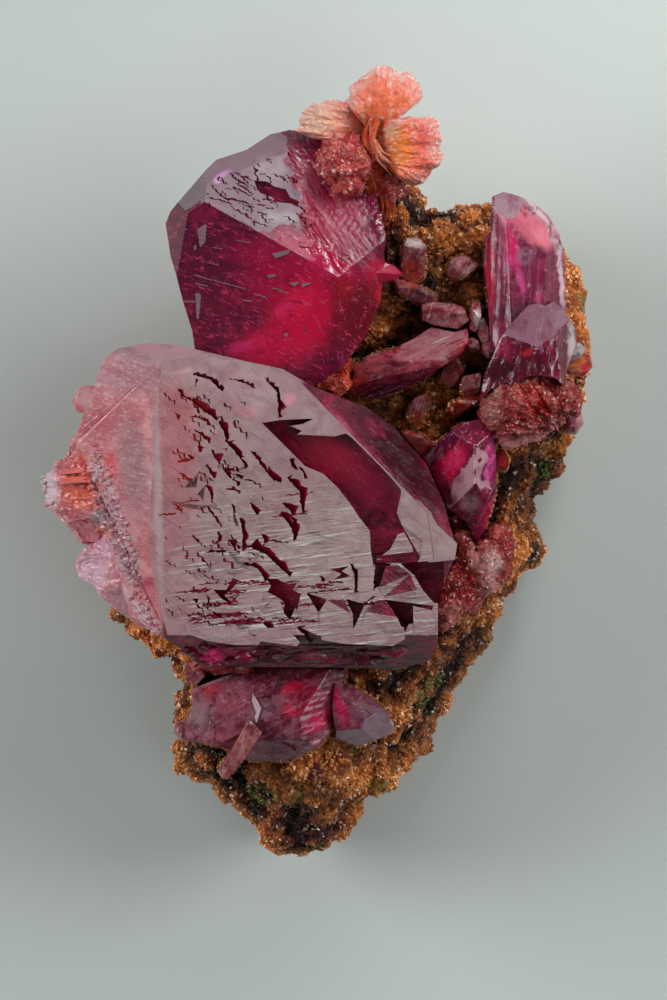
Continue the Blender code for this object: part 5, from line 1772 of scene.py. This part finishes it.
# The hot reds and pinks among the cluster's stains are painted glow.
cluster_roselite = stained_roselite(
    "cluster_roselite", "#8A2844", "#B06478",
    [
        ("#B86070", (222, 700), (1.1, 0.8), 10, 0.7), ("#A88C94", (198, 715), (0.4, 0.5), 0, 0.6),
        ("#FF2C50", (293, 688), (0.4, 0.2), 15, 1.0), ("#B81440", (308, 700), (0.7, 0.7), 0, 0.8),
        ("#D8184C", (290, 712), (0.3, 0.3), 0, 0.8), ("#E83C50", (210, 690), (0.35, 0.25), 0, 0.6),
        ("#F01C60", (318, 722), (0.3, 0.6), -50, 0.9), ("#98143C", (330, 672), (1.0, 0.3), 0, 0.9),
        ("#6A1C38", (262, 730), (0.9, 0.3), 0, 0.7), ("#7E1834", (256, 672), (0.8, 0.25), 0, 0.7),
        ("#A0788A", (262, 712), (0.6, 0.35), 20, 0.5), ("#C0606C", (235, 738), (0.8, 0.3), 0, 0.6),
        ("#8E5468", (372, 712), (0.6, 0.5), 20, 0.8), ("#E01C60", (340, 708), (0.2, 0.7), 20, 0.9),
        ("#7A3450", (280, 745), (0.6, 0.25), 0, 0.7), ("#C8A0AC", (215, 680), (0.7, 0.12), 18, 0.7),
        ("#E8D0D8", (392, 722), (0.1, 0.5), -25, 0.9),
    ],
    skin="#A08490", threads=("#E8C4D0", 30.0, 0.18), clear=0.36, rough=0.22, gloss=0.15,
)
pale_chip = stained_roselite(
    "pale_roselite_chip", "#A8404A", "#CC8488",
    [("#E04A30", (412, 272), (0.4, 0.5), 0, 0.95), ("#E8D8D8", (415, 242), (0.35, 0.2), 0, 0.95),
     ("#7E2C3C", (420, 297), (0.6, 0.35), 15, 0.85), ("#F0E4E8", (576, 350), (0.3, 0.25), 0, 0.95),
     ("#E8E0DC", (479, 318), (0.15, 0.35), 0, 0.9), ("#C87068", (238, 750), (0.6, 0.8), 0, 0.5)],
    skin="#D8CCCC", threads=("#F4E4E4", 70.0, 0.3), clear=0.36, pale=True,
)
red_chip = stained_roselite(
    "red_roselite_chip", "#98201E", "#C84434",
    [("#F07A20", (578, 362), (0.4, 0.3), 0, 0.9), ("#F02048", (585, 368), (0.15, 0.15), 0, 0.9),
     ("#FF3068", (212, 656), (0.4, 0.25), 0, 0.9), ("#E81848", (240, 660), (0.9, 0.25), 0, 0.8),
     ("#FF4060", (503, 460), (0.15, 0.2), 0, 0.9), ("#7A2850", (314, 772), (0.4, 0.4), 0, 0.8),
     ("#A83024", (415, 445), (0.6, 0.5), 0, 0.8)],
    skin="#B89090", threads=("#F0A8A0", 30.0, 0.3), clear=0.28,
)

# %% Dress the smaller crystals
def striae(turn, height=0.016):
    """Growth lines running this way (degrees from +x), and a faint waviness."""
    return [("soft", (1.6, 0.11, 0.9), height, turn), ("soft", (0.45, 0.3, 0.4), height * 1.4, turn)]


SEAM_SWELL = 0.05  # mm
CRUMBS_UP_TO = 0.5  # mm above the gossan round a crystal's foot
ROUND_ABOUT = ((0.25, 0), (-0.25, 0), (0, 0.25), (0, -0.25))  # mm
crumb_bed = bmesh.new()
crumb_bed.verts.layers.float.new("relief")


def ground_beside(place):
    """The highest gossan on four sides of a place."""
    found = [ground_top(place.x + dx, place.y + dy) for dx, dy in ROUND_ABOUT]
    return max((height for height in found if height is not None), default=-1.0)


def collect_foot(bm):
    """Add to the crumb bed the faces of a crystal that lie just above the gossan."""
    bm.normal_update()
    for face in bm.faces:
        centre = face.calc_center_median()
        reach = CRUMBS_UP_TO * (0.7 + 1.2 * noise.noise(centre / 0.3))
        if face.normal.z > -0.1 and centre.z < ground_beside(centre) + reach:
            crumb_bed.faces.new([crumb_bed.verts.new(vert.co) for vert in face.verts])


def dressed(
    node, finish, turn, skins=(), height=0.016, face=0.075, within=None, cuts=(), plates=(), buds=(),
):
    """Dress a solid: turn is the way of its growth lines, skins the ways its skinned facets look."""
    bm = welded(node)
    planes = [largest_facet(bm, way) for way in skins]
    refine(bm, face)
    roughen(bm, striae(turn, height), lift=SEAM_SWELL)
    bmesh.ops.recalc_face_normals(bm, faces=bm.faces)
    combine(bm, cuts, "DIFFERENCE")
    over = top_of(bm)
    combine(bm, [slab(over, outline, top, -0.25, lean) for outline, top, lean in plates], "UNION")
    combine(bm, buds, "UNION")
    mark_skin(bm, planes, near=0.12, within=within)
    collect_foot(bm)
    finished(node + "_dressed", bm, finish, node)


def flat(height):
    """A level surface, for cuts that go right through."""
    return lambda x, y: height


FINE_FACE = 0.06  # mm, of the crystals seen best
BELOW_ROSETTE = [(across, down + 10) for across, down in RIGHT_ROSETTE]
GREY_FACET = [(478, 440), (449, 499), (453, 505), (470, 493), (491, 490), (484, 464)]
STRIATED_END = [(408, 330), (472, 312), (476, 352), (436, 360), (418, 368), (402, 356)]
BUD_LINE, BUD_COUNT, BUD_HEIGHT = [(198, 662), (218, 667), (242, 668)], 11, 5.9
CLUSTER_PLATES = [
    ([(189, 722), (206, 700), (250, 689), (261, 708), (256, 726), (224, 742), (200, 738)],
     0.07, (0.05, -0.1)),
    ([(200, 690), (243, 674), (278, 676), (272, 696), (232, 700)], 0.05, (0.1, 0.15)),
    ([(268, 690), (286, 684), (300, 690), (296, 712), (278, 716)], 0.08, (-0.15, 0.1)),
    ([(254, 728), (274, 738), (296, 752), (272, 756), (250, 750)], 0.05, (0.1, -0.1)),
]

dressed("right_blade", blade_roselite, 88, [(0.0, 1.0, 1.0)], 0.01, FINE_FACE)
dressed(
    "right_pyramid", pyramid_roselite, 70, [(-0.1, 0.75, 1), (0.5, 1.2, 1)], 0.008,
    cuts=[slab(flat(8.0), BELOW_ROSETTE, 1.0, -1.55)],
)
dressed(
    "ruby_point", point_roselite, 60, [(-0.75, -0.15, 1), (0.9, -0.15, 1)], 0.01, FINE_FACE,
    within=GREY_FACET,
)
dressed("centre_blade", centre_roselite, 22, [(-0.15, 0.9, 1.0)], 0.03, within=STRIATED_END)
dressed("lower_cluster", cluster_roselite, 12, (), 0.01, FINE_FACE, plates=CLUSTER_PLATES)
dressed("lower_point", cluster_roselite, -20, [(-0.1, -1.3, 1.0), (0.7, -0.5, 1.0)], 0.012)
for node, turn in (
    ("red_prism", 60), ("red_ledge", -15), ("thin_blade", 25), ("crimson_chip", 0),
    ("amber_chunk", 10), ("shade_crystal", 0),
):
    dressed(node, red_chip, turn)
bud_dice = random.Random(14)
dressed("ruby_buds", red_chip, 30, buds=[
    chip(bud_dice, place, BUD_HEIGHT, bud_dice.uniform(11, 19) / LINES, bud_dice.uniform(0.3, 0.6))
    for place in along(BUD_LINE, BUD_COUNT)
])
for node, turn in (
    ("centre_plate", 5), ("violet_plate", -25), ("stub_column", 88), ("white_blade", 85),
    ("pink_block", 20), ("pink_prism", 60), ("fan_tip", 40), ("lower_splinter", 55),
    ("side_tablet", 20), ("split_plate", 80), ("grey_plate", 40), ("clear_knob", 0),
    ("pale_knob", 0), ("upper_crumb", 0), ("lower_crumb", 0),
):
    dressed(node, pale_chip, turn)

sown(crumb_bed, "crystal_feet_druse", rusty_druse, 130.0, 12)
crumb_bed.free()

# %% [markdown]
# ## Light, floor and camera
#
# The studio is plain: a pale floor, a dim room, and four softboxes. Each softbox stands where one
# set of faces mirrors it towards the camera, or low at a side, where it lights rough surfaces
# without glaring on the flat ones.

# %% Stage
LAMP_FAR = 2.5  # metres
SOFTBOXES = [
    # name, the way to it, half its width as an angle in degrees, radiance
    ("plate_softbox", (0.327, -0.193, 0.925), 11, 1.7), ("upper_softbox", (0.335, 0.756, 0.56), 13, 2.0),
    ("left_softbox", (-0.85, 0.25, 0.45), 16, 6.5), ("right_softbox", (0.85, 0.22, 0.45), 14, 6.5),
]


def lamp(name, place, way, width, energy):
    """A square lamp at a place, in metres, whose back looks this way. The camera can't see it."""
    data = bpy.data.lights.new(name, "AREA")
    data.size, data.energy = width, energy
    made = in_scene(name, data)
    made.location = place
    made.rotation_mode = "QUATERNION"
    made.rotation_quaternion = way.to_track_quat("Z", "Y")
    made.visible_camera = False


rosette_at, from_rosette = Vector((*on_sheet(372, 130), 6.0)), Vector((12, 15, 13))
lamp("rosette_lamp", (rosette_at + from_rosette) * MM, from_rosette, 7 * MM, 0.0024)
for name, towards, half_angle, radiance in SOFTBOXES:
    way = Vector(towards).normalized()
    width = 2 * LAMP_FAR * math.tan(math.radians(half_angle))
    lamp(name, way * LAMP_FAR, way, width, radiance * width ** 2 * math.pi)

scene = bpy.context.scene
world = bpy.data.worlds.new("studio")
scene.world = world
world.use_nodes = True
room = world.node_tree.nodes["Background"].inputs
room["Color"].default_value, room["Strength"].default_value = (0.85, 0.9, 0.92, 1.0), 0.12

FLOOR_REACH, FLOOR_GAP = 0.6, 0.00002  # metres: half its width, and how far below the specimen
floor_bm = bmesh.new()
bmesh.ops.create_grid(floor_bm, x_segments=1, y_segments=1, size=FLOOR_REACH)
floor = as_object(floor_bm, "floor")
floor_bm.free()
floor.location.z = -FLOOR_GAP
floor_finish, floor_tree, floor_shader, _ = start("pale_studio_board")
dress(floor_tree, floor_shader, "#C9D2CE", Roughness=0.7)
floor.data.materials.append(floor_finish)

CAMERA_FAR = 0.6  # metres above the floor
SHEET_AT = 0.0075  # metres above the floor, where the sheet just fills the frame
SENSOR = 36  # mm, its long side
camera_data = bpy.data.cameras.new("camera")
camera_data.lens = SENSOR * (CAMERA_FAR - SHEET_AT) / (SHEET_HEIGHT * MM)
camera_data.clip_end = 10.0
camera = in_scene("camera", camera_data)
camera.location = (
    (sheet_left + SHEET_WIDTH / 2) * MM, (sheet_top - SHEET_HEIGHT / 2) * MM, CAMERA_FAR,
)
scene.camera = camera
scene.view_settings.view_transform = "Standard"
cycles = scene.cycles
cycles.use_denoising = True
cycles.max_bounces, cycles.diffuse_bounces, cycles.glossy_bounces = 8, 2, 2
cycles.transmission_bounces, cycles.volume_bounces = 7, 0
cycles.caustics_reflective = cycles.caustics_refractive = False
print("lens", round(camera_data.lens, 1), "mm at", CAMERA_FAR, "m")
